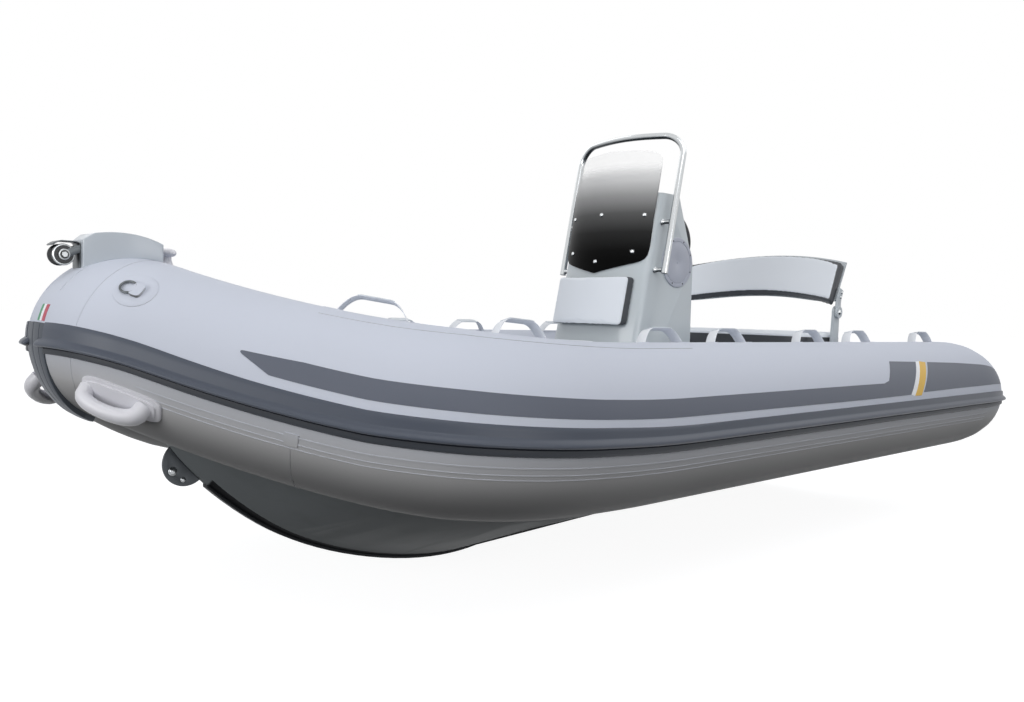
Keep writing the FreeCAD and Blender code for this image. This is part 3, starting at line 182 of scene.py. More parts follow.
def caps(points, wide):
    """The two end faces of rings of points."""
    return [tuple(range(wide)), tuple(range(len(points) - wide, len(points)))]


def flat(rows):
    return [point for row in rows for point in row]


def both_sides(points, faces):
    """A port piece and its starboard image as one list of points and faces."""
    count = len(points)
    mirror = [Vector((p[0], -p[1], p[2])) for p in points]
    return list(points) + mirror, list(faces) + [tuple(count + i for i in reversed(f)) for f in faces]


def thick_grid(outer, inner):
    """A closed shell between two grids of points of the same size."""
    rows, wide = len(outer), len(outer[0])
    points = flat(outer) + flat(inner)
    shift = rows * wide
    faces = grid(outer) + [tuple(reversed(f)) for f in grid(inner, start=shift)]
    rim = [(i, 0) for i in range(rows)] + [(rows - 1, j) for j in range(1, wide)]
    rim += [(i, wide - 1) for i in range(rows - 2, -1, -1)] + [(0, j) for j in range(wide - 2, 0, -1)]
    for (a, b), (c, d) in zip(rim, rim[1:] + rim[:1]):
        p, q = a * wide + b, c * wide + d
        faces.append((p, p + shift, q + shift, q))
    return points, faces


def spread(low, high, count):
    return [low + (high - low) * i / count for i in range(count + 1)]


def table_value(table, at):
    """Values of a table's row, in a straight line between its rows."""
    if at <= table[0][0]:
        return table[0][1:]
    for low, high in zip(table, table[1:]):
        if at <= high[0]:
            share = (at - low[0]) / (high[0] - low[0])
            return [a + (b - a) * share for a, b in zip(low[1:], high[1:])]
    return table[-1][1:]


# ---- the inflated collar's path, the same as the frame's ----
class Collar:
    """Places on the port tube by distance along its plan line and angle round it, outboard 0, top 90."""

    bend_x, bend_radius, turn = 1.025, 0.5585, math.radians(47.7)
    radius_aft, radius_bow, taper = 0.250, 0.222, 0.310
    spacing, height, aft_x, nose_bend = 0.768, 0.320, -1.723, 0.189
    sheer_start, sheer_middle, middle_slope, end_slope = -0.373, 0.232, 0.0957, 0.3259
    # distance aft of the straight tube's end, radius of the tube, drop of its axis
    stern = (
        (0.0, 0.250, 0.0), (0.07, 0.2485, 0.0), (0.15, 0.2425, 0.001), (0.23, 0.229, 0.003),
        (0.30, 0.207, 0.006), (0.35, 0.182, 0.009), (0.39, 0.153, 0.012), (0.42, 0.123, 0.014),
        (0.442, 0.090, 0.016), (0.455, 0.058, 0.017), (0.461, 0.028, 0.018), (0.4625, 0.002, 0.018),
    )

    def __init__(self):
        self.aft = self.aft_x - self.bend_x
        self.bend_length = self.bend_radius * self.turn
        pitch = math.atan(self.end_slope)
        line_out, line_up = -math.sin(pitch) * math.sin(self.turn), math.cos(self.turn)
        leg_y = self.spacing - self.bend_radius * (1 - math.cos(self.turn))
        leg = (leg_y - self.nose_bend * math.hypot(line_out, line_up)) / math.sin(self.turn)
        self.leg_end = self.bend_length + leg
        self.nose_angle = math.acos(math.sin(self.turn) * math.cos(pitch))
        self.end = self.leg_end + self.nose_bend * self.nose_angle
        self.slopes = (
            (self.sheer_start, 0.0), (self.sheer_middle, self.middle_slope), (self.leg_end, self.end_slope),
        )
        self.last = self.frame(self.leg_end)
        centre, forward, outboard, up, radius = self.last
        self.line = (outboard * line_out + up * line_up).normalized()
        self.pivot = centre + forward.cross(self.line) * self.nose_bend

    def rise(self, at):
        height = 0.0
        for low, high in zip(self.slopes, self.slopes[1:]):
            reach = min(at, high[0])
            if reach <= low[0]:
                break
            slope = low[1] + (high[1] - low[1]) * (reach - low[0]) / (high[0] - low[0])
            height += (low[1] + slope) / 2 * (reach - low[0])
        return height

    def frame(self, at):
        """Centre, ways forward, outboard and up, and radius at a plan distance."""
        if at > self.leg_end + 1e-9:
            turn = Matrix.Rotation(-(at - self.leg_end) / self.nose_bend, 3, self.line)
            centre, forward, outboard, up, radius = self.last
            return self.pivot + turn @ (centre - self.pivot), turn @ forward, turn @ outboard, turn @ up, radius
        turned = min(max(at / self.bend_radius, 0.0), self.turn)
        past = max(at - self.bend_length, 0.0)
        x = self.bend_x + min(at, 0.0) + self.bend_radius * math.sin(turned) + past * math.cos(self.turn)
        y = self.spacing - self.bend_radius * (1 - math.cos(turned)) - past * math.sin(self.turn)
        slope = table_value(self.slopes, at)[0]
        forward = Vector((math.cos(turned), -math.sin(turned), slope)).normalized()
        outboard = Vector((math.sin(turned), math.cos(turned), 0))
        share = min(max((at - self.taper) / (self.leg_end - self.taper), 0.0), 1.0)
        radius = self.radius_aft + (self.radius_bow - self.radius_aft) * share
        centre = Vector((x, y, self.height + self.rise(at)))
        if at < self.aft:
            radius, drop = table_value(self.stern, self.aft - at)
            centre.z -= drop
        return centre, forward, outboard, forward.cross(outboard), radius

    def point(self, at, angle, lift=0.0):
        """A point on the tube, kept on the port side of the centre plane."""
        centre, forward, outboard, up, radius = self.frame(at)
        a = math.radians(angle)
        spot = centre + (outboard * math.cos(a) + up * math.sin(a)) * (radius + lift)
        if spot.y < 0 and at <= self.leg_end + 1e-9:
            spot += forward * (-spot.y / forward.y)
        elif at > self.leg_end:
            out = self.line.cross(forward).normalized()
            reach = (spot - self.pivot).dot(out)
            if reach < 0:
                spot -= out * reach
            spot.y = max(spot.y, 0.0)
        return spot

    def walk(self, at, angle, reach):
        """The plan distance that lies a reach further forward along the tube's surface."""
        nose = (self.point(self.leg_end + 0.03, angle) - self.point(self.leg_end + 0.01, angle)).length / 0.02
        leg = (self.point(self.leg_end - 0.01, angle) - self.point(self.leg_end - 0.03, angle)).length / 0.02
        past = (at - self.leg_end) * (nose if at > self.leg_end else leg) + reach
        return self.leg_end + past / (nose if past > 0 else leg)

    def normal(self, at, angle):
        centre, forward, outboard, up, radius = self.frame(at)
        a = math.radians(angle)
        return outboard * math.cos(a) + up * math.sin(a)


COLLAR = Collar()


GLUE_SINK = 0.002  # how far a glued piece reaches into the tube, so that no gap shows


def applique(lines, lift, across=6, step=0.03):
    """A thin strip glued to the tube between lines. Each line is a pair of places, distance and angle."""
    outer, inner = [], []
    for (low, high), (low_next, high_next) in zip(lines, lines[1:]):
        reach = max(abs(low_next[0] - low[0]), abs(high_next[0] - high[0]))
        reach = max(reach, math.radians(abs(low_next[1] - low[1])) * 0.25)
        count = max(1, math.ceil(reach / step))
        last = (low_next, high_next) == tuple(lines[-1])
        for i in range(count + (1 if last else 0)):
            share = i / count
            a = [p + (q - p) * share for p, q in zip(low, low_next)]
            b = [p + (q - p) * share for p, q in zip(high, high_next)]
            spots = [[p + (q - p) * j / across for p, q in zip(a, b)] for j in range(across + 1)]
            outer.append([COLLAR.point(s, angle, lift) for s, angle in spots])
            inner.append([COLLAR.point(s, angle, -GLUE_SINK) for s, angle in spots])
    return thick_grid(outer, inner)


def patch(centre, half, lift, power=2.0, rings=5, sides=44):
    """A rounded pad glued to the tube round a place, as far each way as its half length and half width."""
    at, angle = centre
    round_tube = (COLLAR.point(at, angle + 1) - COLLAR.point(at, angle - 1)).length / 2

    def spot(share, turn, high):
        u = half[0] * share * math.copysign(abs(math.cos(turn)) ** (2 / power), math.cos(turn))
        v = half[1] * share * math.copysign(abs(math.sin(turn)) ** (2 / power), math.sin(turn))
        return COLLAR.point(COLLAR.walk(at, angle, u), angle + v / round_tube, high)

    turns = [2 * math.pi * j / sides for j in range(sides)]
    rows = []
    for i in range(1, rings + 1):
        share = i / rings * 0.97
        rows.append([spot(share, t, lift) for t in turns])
    rows.append([spot(1.0, t, lift * 0.5) for t in turns])
    rows.append([spot(1.0, t, -GLUE_SINK) for t in turns])
    points = [COLLAR.point(at, angle, lift)] + flat(rows) + [COLLAR.point(at, angle, -GLUE_SINK)]
    faces = [(0, 1 + j, 1 + (j + 1) % sides) for j in range(sides)] + grid(rows, closed_columns=True, start=1)
    last = 1 + (len(rows) - 1) * sides
    faces += [(len(points) - 1, last + (j + 1) % sides, last + j) for j in range(sides)]
    return points, faces


def sweep(path, section, closed=False, start=None):
    """A closed section, of offsets to the side and outwards, carried along a path of points."""
    path = [Vector(p) for p in path]
    count = len(path)
    ways = []
    for i in range(count):
        before = path[(i - 1) % count] if closed else path[max(i - 1, 0)]
        after = path[(i + 1) % count] if closed else path[min(i + 1, count - 1)]
        ways.append((after - before).normalized())
    side = Vector(start) if start is not None else ways[0].orthogonal()
    rows = []
    for i, (spot, way) in enumerate(zip(path, ways)):
        side = (side - way * side.dot(way)).normalized()
        out = side.cross(way)
        shape = section(i / (count - 1)) if callable(section) else section
        rows.append([spot + side * a + out * b for a, b in shape])
    points, faces = flat(rows), grid(rows, closed_rows=closed, closed_columns=True)
    if not closed:
        faces += caps(points, len(rows[0]))
    return points, faces


def disc(radius, sides=20, flatness=1.0):
    """The section of a round bar, or of an oval one."""
    turns = [2 * math.pi * j / sides for j in range(sides)]
    return [(radius * math.cos(t), radius * flatness * math.sin(t)) for t in turns]


def bar(path, radius, sides=20, closed=False):
    return sweep(path, disc(radius, sides), closed)


def strap_section(width, thick):
    """The section of flat webbing, with its edges eased."""
    w, t = width / 2, thick / 2
    lower = [(-w, -t * 0.4), (-w + t, -t), (0.0, -t), (w - t, -t), (w, -t * 0.4)]
    return lower + [(a, -b) for a, b in reversed(lower)]


def lathe(centre, axis, profile, sides=48):
    """A turned form: distances along its axis and radii, closed on the axis at both ends."""
    centre, axis = Vector(centre), Vector(axis).normalized()
    side = axis.orthogonal().normalized()
    out = axis.cross(side)
    profile = [(profile[0][0], 0.0)] + list(profile) + [(profile[-1][0], 0.0)]
    turns = [2 * math.pi * j / sides for j in range(sides)]
    rows = [
        [centre + axis * along + (side * math.cos(t) + out * math.sin(t)) * radius for t in turns]
        for along, radius in profile]
    return flat(rows), grid(rows, closed_columns=True)


def turn_path(centre, a, b, low, high, count):
    """Points on an arc from two radii that are square to each other."""
    centre, a, b = Vector(centre), Vector(a), Vector(b)
    angles = [math.radians(angle) for angle in spread(low, high, count)]
    return [centre + a * math.cos(t) + b * math.sin(t) for t in angles]


def gather(parts):
    """Several lists of points and faces as one."""
    points, faces = [], []
    for some, several in parts:
        start = len(points)
        points += list(some)
        faces += [tuple(start + i for i in face) for face in several]
    return points, faces


# ---- sizes and colours that a user would change ----
class BoatColours(bpy.types.PropertyGroup):
    """Colours of the boat's finishes."""
    tube: FloatVectorProperty(
        name="Tube fabric", description="Coated fabric of the collar", subtype="COLOR",
        default=linear("#C9CEDA")[:3], min=0.0, max=1.0)
    stripe: FloatVectorProperty(
        name="Stripe fabric", description="Glued stripes along the collar", subtype="COLOR",
        default=linear("#5F6470")[:3], min=0.0, max=1.0)
    strake: FloatVectorProperty(
        name="Rubbing strake", description="Moulded rubber round the collar", subtype="COLOR",
        default=linear("#464C58")[:3], min=0.0, max=1.0)
    slash: FloatVectorProperty(
        name="Gold slash", description="Slanted mark between the stern stripes", subtype="COLOR",
        default=linear("#D9AE3C")[:3], min=0.0, max=1.0)
    gelcoat: FloatVectorProperty(
        name="Gelcoat", description="Polished gelcoat of the hull and console", subtype="COLOR",
        default=linear("#C3CBD0")[:3], min=0.0, max=1.0)
    upholstery: FloatVectorProperty(
        name="Upholstery", description="Faces of the cushions", subtype="COLOR",
        default=linear("#E8EDF4")[:3], min=0.0, max=1.0)
    piping: FloatVectorProperty(
        name="Upholstery sides", description="Sides of the cushions", subtype="COLOR",
        default=linear("#3B3E43")[:3], min=0.0, max=1.0)


class BoatSizes(bpy.types.PropertyGroup):
    """Fine sizes of what is dressed over the frame."""
    stripe_lift: FloatProperty(
        name="Stripe thickness", description="How far a glued stripe stands off the tube",
        default=0.0009, min=0.0002, max=0.005, unit="LENGTH")
    rings: IntProperty(
        name="Tube sections", description="Sections along the curved part of the tube", default=90, min=20, max=300)
    round_faces: IntProperty(
        name="Faces round the tube", description="Faces round one section of the tube", default=96, min=24, max=256)


def colours():
    return bpy.context.scene.boat_colours


def sizes():
    return bpy.context.scene.boat_sizes


def shader_of(made):
    return next(n for n in made.node_tree.nodes if n.bl_idname == "ShaderNodeBsdfPrincipled")


def overlay(made, colour, share):
    """Lays a colour over a material's own, by a share from 0 to 1."""
    tree, base = made.node_tree, shader_of(made).inputs["Base Color"]
    both = add_node(
        tree, "ShaderNodeMix", {7: list(colour)[:3] + [1.0]},
        {"Factor": share, 6: base.links[0].from_socket}, data_type="RGBA")
    tree.links.new(both.outputs[2], base)
    return made


def below(made, colour, high, low):
    """Paints shade: lets a colour take over where a surface faces down, from one slope of its normal to another."""
    tree = made.node_tree
    normal = add_node(tree, "ShaderNodeNewGeometry").outputs["Normal"]
    turn = add_node(tree, "ShaderNodeSeparateXYZ", None, {0: normal}).outputs["Z"]
    share = add_node(
        tree, "ShaderNodeMapRange", {"From Min": low, "From Max": high, "To Min": 1.0, "To Max": 0.0}, {"Value": turn})
    return overlay(made, linear(colour), share.outputs["Result"])


# Chlorosulfonated polyethylene coated polyester: matt, with the faint grain of the cloth under it.
def tube_fabric():
    made = finish("coated_tube_fabric", "tube", 0.55, 0.0016, 0.00012, 0.02, {"Specular IOR Level": 0.08})
    # painted shade: where the tube faces down, towards the water, it is painted greyer and then dark
    return below(below(made, "#BABABB", 0.10, -0.45), "#3E3F40", -0.40, -0.95)


# Gelcoat over hand laid glass fibre, with the black guard along the keel. Its dull grey is partly painted shade, and
# more painted shade darkens the bottom towards the stern.
def hull_gelcoat():
    made = finish("hull_gelcoat", "#7E8386", 0.5, 0.012, 0.00006, 0.04, {"Specular IOR Level": 0.025}, 0.2)
    tree = made.node_tree
    place = add_node(tree, "ShaderNodeTexCoord").outputs["Object"]
    parts = add_node(tree, "ShaderNodeSeparateXYZ", None, {0: place})
    # painted shade: the bottom is painted darker towards the stern, from 1.5 m to 0.3 m ahead of amidships
    painted_shade_aft = add_node(
        tree, "ShaderNodeMapRange", {"From Min": 0.3, "From Max": 1.5, "To Min": 0.80, "To Max": 0.0},
        {"Value": parts.outputs["X"]})
    overlay(made, linear("#1C1D1F"), painted_shade_aft.outputs["Result"])
    # the keel guard laps 40 mm up each side and starts below the towing plate
    away = add_node(tree, "ShaderNodeMath", None, {0: parts.outputs["Y"]}, operation="ABSOLUTE")
    near, behind = [
        add_node(
            tree, "ShaderNodeMapRange", {"From Min": low, "From Max": high, "To Min": 1.0, "To Max": 0.0},
            {"Value": value}).outputs["Result"]
        for low, high, value in ((0.040, 0.042, away.outputs[0]), (1.655, 1.660, parts.outputs["X"]))]
    guard = add_node(tree, "ShaderNodeMath", None, {0: near, 1: behind}, operation="MULTIPLY")
    return overlay(made, linear("#121315"), guard.outputs[0])


# Embossed marine vinyl: a pale face and dark sides, sewn together with a fine welt at the seam.
def two_tone_vinyl():
    made = finish("embossed_marine_vinyl", "upholstery", 0.46, 0.0022, 0.0002, 0.025)
    tree = made.node_tree
    shader = shader_of(made)
    seam = add_node(tree, "ShaderNodeAttribute", attribute_name="seam").outputs["Fac"]
    side = add_node(tree, "ShaderNodeMapRange", {"From Min": -0.0004, "From Max": 0.0004}, {"Value": seam})
    overlay(made, colours().piping, side.outputs["Result"])
    # the stitched groove is 2 mm wide
    near = add_node(tree, "ShaderNodeMath", None, {0: seam}, operation="ABSOLUTE")
    groove = add_node(
        tree, "ShaderNodeMapRange", {"From Min": 0.0, "From Max": 0.0012}, {"Value": near.outputs[0]},
        interpolation_type="SMOOTHSTEP")
    stitch = add_node(
        tree, "ShaderNodeBump", {"Strength": 0.8, "Distance": 0.0015},
        {"Height": groove.outputs["Result"], "Normal": shader.inputs["Normal"].links[0].from_socket})
    tree.links.new(stitch.outputs["Normal"], shader.inputs["Normal"])
    return made


# Drawn and polished stainless tube, with the faintest drawing lines: bright above, and painted dark below as shade and
# a dark reflection.
def polished_stainless():
    made = finish("polished_stainless", "#CDD0D2", 0.14, 0.003, 0.00001, 0.02, {"Metallic": 1.0})
    # painted shade and reflection: faces that look down turn dark grey
    return below(made, "#3E4143", 0.05, -0.62)


# Cast acrylic sheet, sprayed black on the back from its foot and fading to clear at its top.
def shaded_acrylic():
    made = bare("shaded_acrylic_sheet")
    tree = made.node_tree
    place = add_node(tree, "ShaderNodeTexCoord").outputs["Object"]
    height = add_node(tree, "ShaderNodeSeparateXYZ", None, {0: place}).outputs["Z"]
    share = add_node(tree, "ShaderNodeMapRange", {"From Min": 0.88, "From Max": 1.36}, {"Value": height})
    ramp = add_node(tree, "ShaderNodeValToRGB", None, {"Fac": share.outputs["Result"]})
    # share of the height, grey level of the spray
    stops = (
        (0.0, 0.003), (0.09, 0.006), (0.25, 0.028), (0.415, 0.115), (0.577, 0.36), (0.667, 0.58), (0.74, 0.80),
        (0.82, 0.95), (1.0, 0.99),
    )
    while len(ramp.color_ramp.elements) < len(stops):
        ramp.color_ramp.elements.new(0.5)
    for stop, (at, level) in zip(ramp.color_ramp.elements, stops):
        stop.position = at
        stop.color = (level, level, level, 1.0)
    film = add_node(
        tree, "ShaderNodeMapRange", {"From Min": 1.21, "From Max": 1.30, "To Min": 1.0, "To Max": 0.14},
        {"Value": height}, interpolation_type="SMOOTHSTEP")
    wear = add_node(tree, "ShaderNodeTexNoise", {"Scale": 400.0, "Detail": 3.0}, {"Vector": place})
    gloss = add_node(tree, "ShaderNodeMapRange", {"To Min": 0.03, "To Max": 0.07}, {"Value": wear.outputs["Fac"]})
    surface = add_node(
        tree, "ShaderNodeBsdfPrincipled", {"IOR": 1.49, "Specular IOR Level": 0.03},
        {"Base Color": ramp.outputs["Color"], "Roughness": gloss.outputs["Result"], "Alpha": film.outputs["Result"]})
    add_node(tree, "ShaderNodeOutputMaterial", None, {"Surface": surface.outputs["BSDF"]})
    return made


# name, colour, roughness, grain and relief in metres, drift of the colour, and values of the shader's own sockets
FINISHES = {
    "tube_fabric": tube_fabric,
    "hull_gelcoat": hull_gelcoat,
    "upholstery": two_tone_vinyl,
    "stainless": polished_stainless,
    "acrylic": shaded_acrylic,
    # Moulded rubber of the strip that takes the quay at the bow: satin slate, faintly blotched.
    "strip_rubber": ("moulded_rubber_strip", "#40464F", 0.5, 0.002, 0.0001, 0.06),
    # Extruded rubber: semi-matt, slightly dusty.
    "strake_rubber": ("extruded_rubber", "strake", 0.42, 0.002, 0.0001, 0.05, {"Specular IOR Level": 0.35}),
    # Extruded rubber under the strake's bead, painted near black for the shade that falls under the bead: matt.
    "foot_rubber": ("foot_rubber_painted_shade", "#2C3037", 0.5, 0.002, 0.0001, 0.06, {"Specular IOR Level": 0.3}),
    # Black rubber that takes the keel's scrapes: matt and scuffed. On the lower bow strip the same finish is painted
    # shade.
    "keel_rubber": ("black_keel_rubber_and_strip_shade", "#14161A", 0.55, 0.002, 0.0002, 0.1, {"Specular IOR Level": 0.15}),
    # Soft white rubber: satin, slightly rounded everywhere.
    "soft_white_rubber": ("soft_white_rubber", "#DADAE0", 0.38, 0.003, 0.00008, 0.03),
    # The tube's coated fabric dyed dark, cut and glued on: matt.
    "stripe_fabric": ("dark_coated_fabric", "stripe", 0.50, 0.0016, 0.0001, 0.04, {"Specular IOR Level": 0.3}),
    # The same fabric in the colours of the marks: matt and even.
    "gold_fabric": ("gold_coated_fabric", "slash", 0.45, 0.0016, 0.0001, 0.03),
    "white_fabric": ("white_coated_fabric", "#ECEEF2", 0.45, 0.0016, 0.0001, 0.02),
    "green_fabric": ("green_coated_fabric", "#3C8A63", 0.45, 0.0016, 0.0001, 0.03),
    "red_fabric": ("red_coated_fabric", "#B2475A", 0.45, 0.0016, 0.0001, 0.03),
    # Woven polyester webbing: pale and rough, with a weave of 2.5 mm.
    "webbing": ("woven_webbing", "#E6E9EE", 0.62, 0.0025, 0.0004, 0.03),
    # Ribbed sleeve round the middle of a loop: matt, a shade greyer than the webbing.
    "sleeve": ("ribbed_sleeve", "#D3D9DF", 0.55, 0.003, 0.0004, 0.03),
    # Sprayed gelcoat over glass fibre: a clear gloss with a slow orange peel.
    "gelcoat": (
        "polished_gelcoat", "gelcoat", 0.32, 0.012, 0.00006, 0.02, {"Coat Weight": 0.4, "Coat Roughness": 0.12}),
    # The bow step's gelcoat: the same peel, a little duller from feet and rope.
    "nose_moulding": (
        "grey_gelcoat_step", "#B4BBC3", 0.34, 0.012, 0.00006, 0.03, {"Coat Weight": 0.3, "Coat Roughness": 0.15}),
    # Moulded glass fibre with a pale grey gelcoat, left without its last polish.
    "pale_moulding": ("pale_grey_moulding", "#BCC3C8", 0.36, 0.010, 0.00006, 0.03),
    # Brushed stainless castings and plate: grey, with a soft sheen.
    "cast_stainless": ("brushed_stainless_plate", "#5F6366", 0.40, 0.002, 0.00005, 0.08, {"Metallic": 1.0}),
    # Cast plate, nearly black.
    "plate_steel": ("near_black_cast_plate", "#4A4D50", 0.45, 0.002, 0.00005, 0.08, {"Metallic": 1.0}),
    # Pressed washers, duller than the tube.
    "washer_steel": ("pressed_stainless_washer", "#A9ACAE", 0.28, 0.002, 0.00003, 0.05, {"Metallic": 1.0}),
    # Injection moulded plastic with a lilac cast, satin.
    "lilac_plastic": ("moulded_lilac_plastic", "#B4B8C4", 0.40, 0.002, 0.00008, 0.02),
    # Foam padded rim under stitched vinyl: dark and soft.
    "padded_rim": ("padded_vinyl_rim", "#202226", 0.55, 0.002, 0.0002, 0.05),
    # Injection moulded plastic, black and grey: satin, with a fine spark eroded texture.
    "black_plastic": ("moulded_black_plastic", "#1C1E21", 0.4, 0.002, 0.0001, 0.05),
    "grey_plastic": ("moulded_grey_plastic", "#B4BBC0", 0.42, 0.002, 0.0001, 0.03),
}


# ---- operators: one for each piece or group ----
class BoatPiece:
    bl_options = {"REGISTER", "UNDO"}

    def execute(self, context):
        self.build()
        return {"FINISHED"}


class BOAT_OT_collar(BoatPiece, bpy.types.Operator):
    """Sweeps the inflated collar as one smooth tube from stern to stern"""
    bl_idname = "boat.collar"
    bl_label = "Collar"

    def build(self):
        stations = [COLLAR.aft - row[0] for row in reversed(COLLAR.stern)]
        stations += spread(COLLAR.aft, COLLAR.sheer_start, 12)[1:]
        stations += spread(COLLAR.sheer_start, COLLAR.leg_end, sizes().rings)[1:]
        stations += spread(COLLAR.leg_end, COLLAR.end, 14)[1:]
        count = sizes().round_faces
        rows = [[COLLAR.point(s, 360 * j / count) for j in range(count)] for s in stations]
        points = flat(rows)
        # faces that lie in the centre plane are left out, so the two halves join as one skin
        faces = [f for f in grid(rows, closed_columns=True) if max(points[i].y for i in f) > 1e-7]
        faces.append(tuple(range(count)))
        piece(
            "collar_skin", *both_sides(points, faces), "tube_fabric", "boat",
            ("collar_port", "collar_starboard", "collar_nose", "stern_cone_port", "stern_cone_starboard"), 60,
            "collar_fabric")


class BOAT_OT_stripes(BoatPiece, bpy.types.Operator):
    """Glues the stripes, the slanted marks and the seam tapes on the collar"""
    bl_idname = "boat.stripes"
    bl_label = "Stripes and seams"

    def build(self):
        lift = sizes().stripe_lift
        # each line across a stripe: distance and angle of its lower end, then of its upper end
        long_stripe = [
            ((0.8070, 23.7), (0.8070, 24.1)), ((0.8045, 22.9), (0.8045, 24.6)), ((0.798, 22.1), (0.798, 24.8)),
            ((0.722, 14.3), (0.722, 25.8)), ((0.6515, 14.0), (0.6515, 26.6)),
            ((0.30, 12.4), (0.30, 25.0)), ((0.0215, 11.3), (0.0215, 23.4)), ((-0.3785, 11.2), (-0.3785, 23.6)),
            ((-1.4485, 10.6), (-1.4485, 23.4)), ((-1.640, 10.7), (-1.640, 23.3)),
        ]
        block = [
            ((-1.640, 10.7), (-1.640, 23.3)), ((-1.690, 10.8), (-1.690, 25.5)), ((-1.700, 10.8), (-1.8006, 45.6)),
            ((-1.858, 11.0), (-2.049, 43.8)),
        ]
        gold = [((-1.893, 9.6), (-2.084, 44.4)), ((-1.958, 9.4), (-2.140, 42.8))]
        white = [((-1.858, 11.0), (-2.049, 44.2)), ((-1.893, 9.6), (-2.084, 44.4))]
        aft_block = [
            ((-1.985, 12.2), (-2.162, 43.0)), ((-2.40, 12.9), (-2.46, 40.5)), ((-2.748, 13.2), (-2.748, 37.0)),
            ((-2.90, 13.6), (-2.90, 34.6)), ((-3.02, 14.0), (-3.02, 31.5)), ((-3.10, 14.4), (-3.10, 27.6)),
            ((-3.15, 14.6), (-3.15, 22.0)), ((-3.178, 14.8), (-3.178, 16.0)),
        ]
        for name, lines, kind, more in (
            ("stripe_long", long_stripe, "stripe_fabric", 0), ("stripe_block", block, "stripe_fabric", 0),
            ("stripe_aft", aft_block, "stripe_fabric", 0), ("slash_gold", gold, "gold_fabric", 0.0002),
            ("slash_white", white, "white_fabric", 0.0001),
        ):
            piece(name, *both_sides(*applique(lines, lift + more)), kind, "boat", smooth=30)
        # name, forward and after edge, finish
        marks = (
            ("mark_green", 1.2215, 1.2150, "green_fabric"), ("mark_white", 1.2150, 1.2085, "white_fabric"),
            ("mark_red", 1.2085, 1.2010, "red_fabric"),
        )
        for name, ahead, after, kind in marks:
            lines = [((at, 5.2), (at, 16.6)) for at in (ahead, after)]
            piece(name, *applique(lines, lift), kind, "boat", smooth=30)
        self.seams(lift)

    def seams(self, lift):
        parts = []
        level = -0.4  # the tube is straight behind this
        # welded tapes along the tube: start, end, angle, half width in degrees
        for ahead, after, angle, half in (
            (1.02, -2.74, -17.5, 0.45), (1.02, -2.74, -22.0, 0.3), (1.02, -2.74, -25.3, 0.3),
            (0.68, -0.56, 72.0, 2.2), (1.05, -2.74, 150.0, 2.2),
        ):
            stations = spread(after, level, 4) + spread(level, ahead, 70)[1:]
            lines = [((s, angle - half), (s, angle + half)) for s in stations]
            parts.append(applique(lines, lift * 1.4, across=2, step=0.1))
        # butt joints that run round the tube: distance, first and last angle
        half = 0.0011
        for at, low, high in ((1.1415, -68.0, 118.0), (1.1985, 28.0, 112.0), (0.637, -80.0, -16.0)):
            lines = [((at + half, a), (at - half, a)) for a in spread(low, high, 60)]
            parts.append(applique(lines, lift * 0.8, across=2, step=0.2))
        # a small square patch of the same fabric, under the strake
        parts.append(applique([((0.654, -15.4), (0.654, -23.5)), ((0.620, -15.4), (0.620, -23.5))], lift * 2.2))
        piece("seam_tapes", *both_sides(*gather(parts)), "tube_fabric", "boat", smooth=30, slot="collar_fabric")


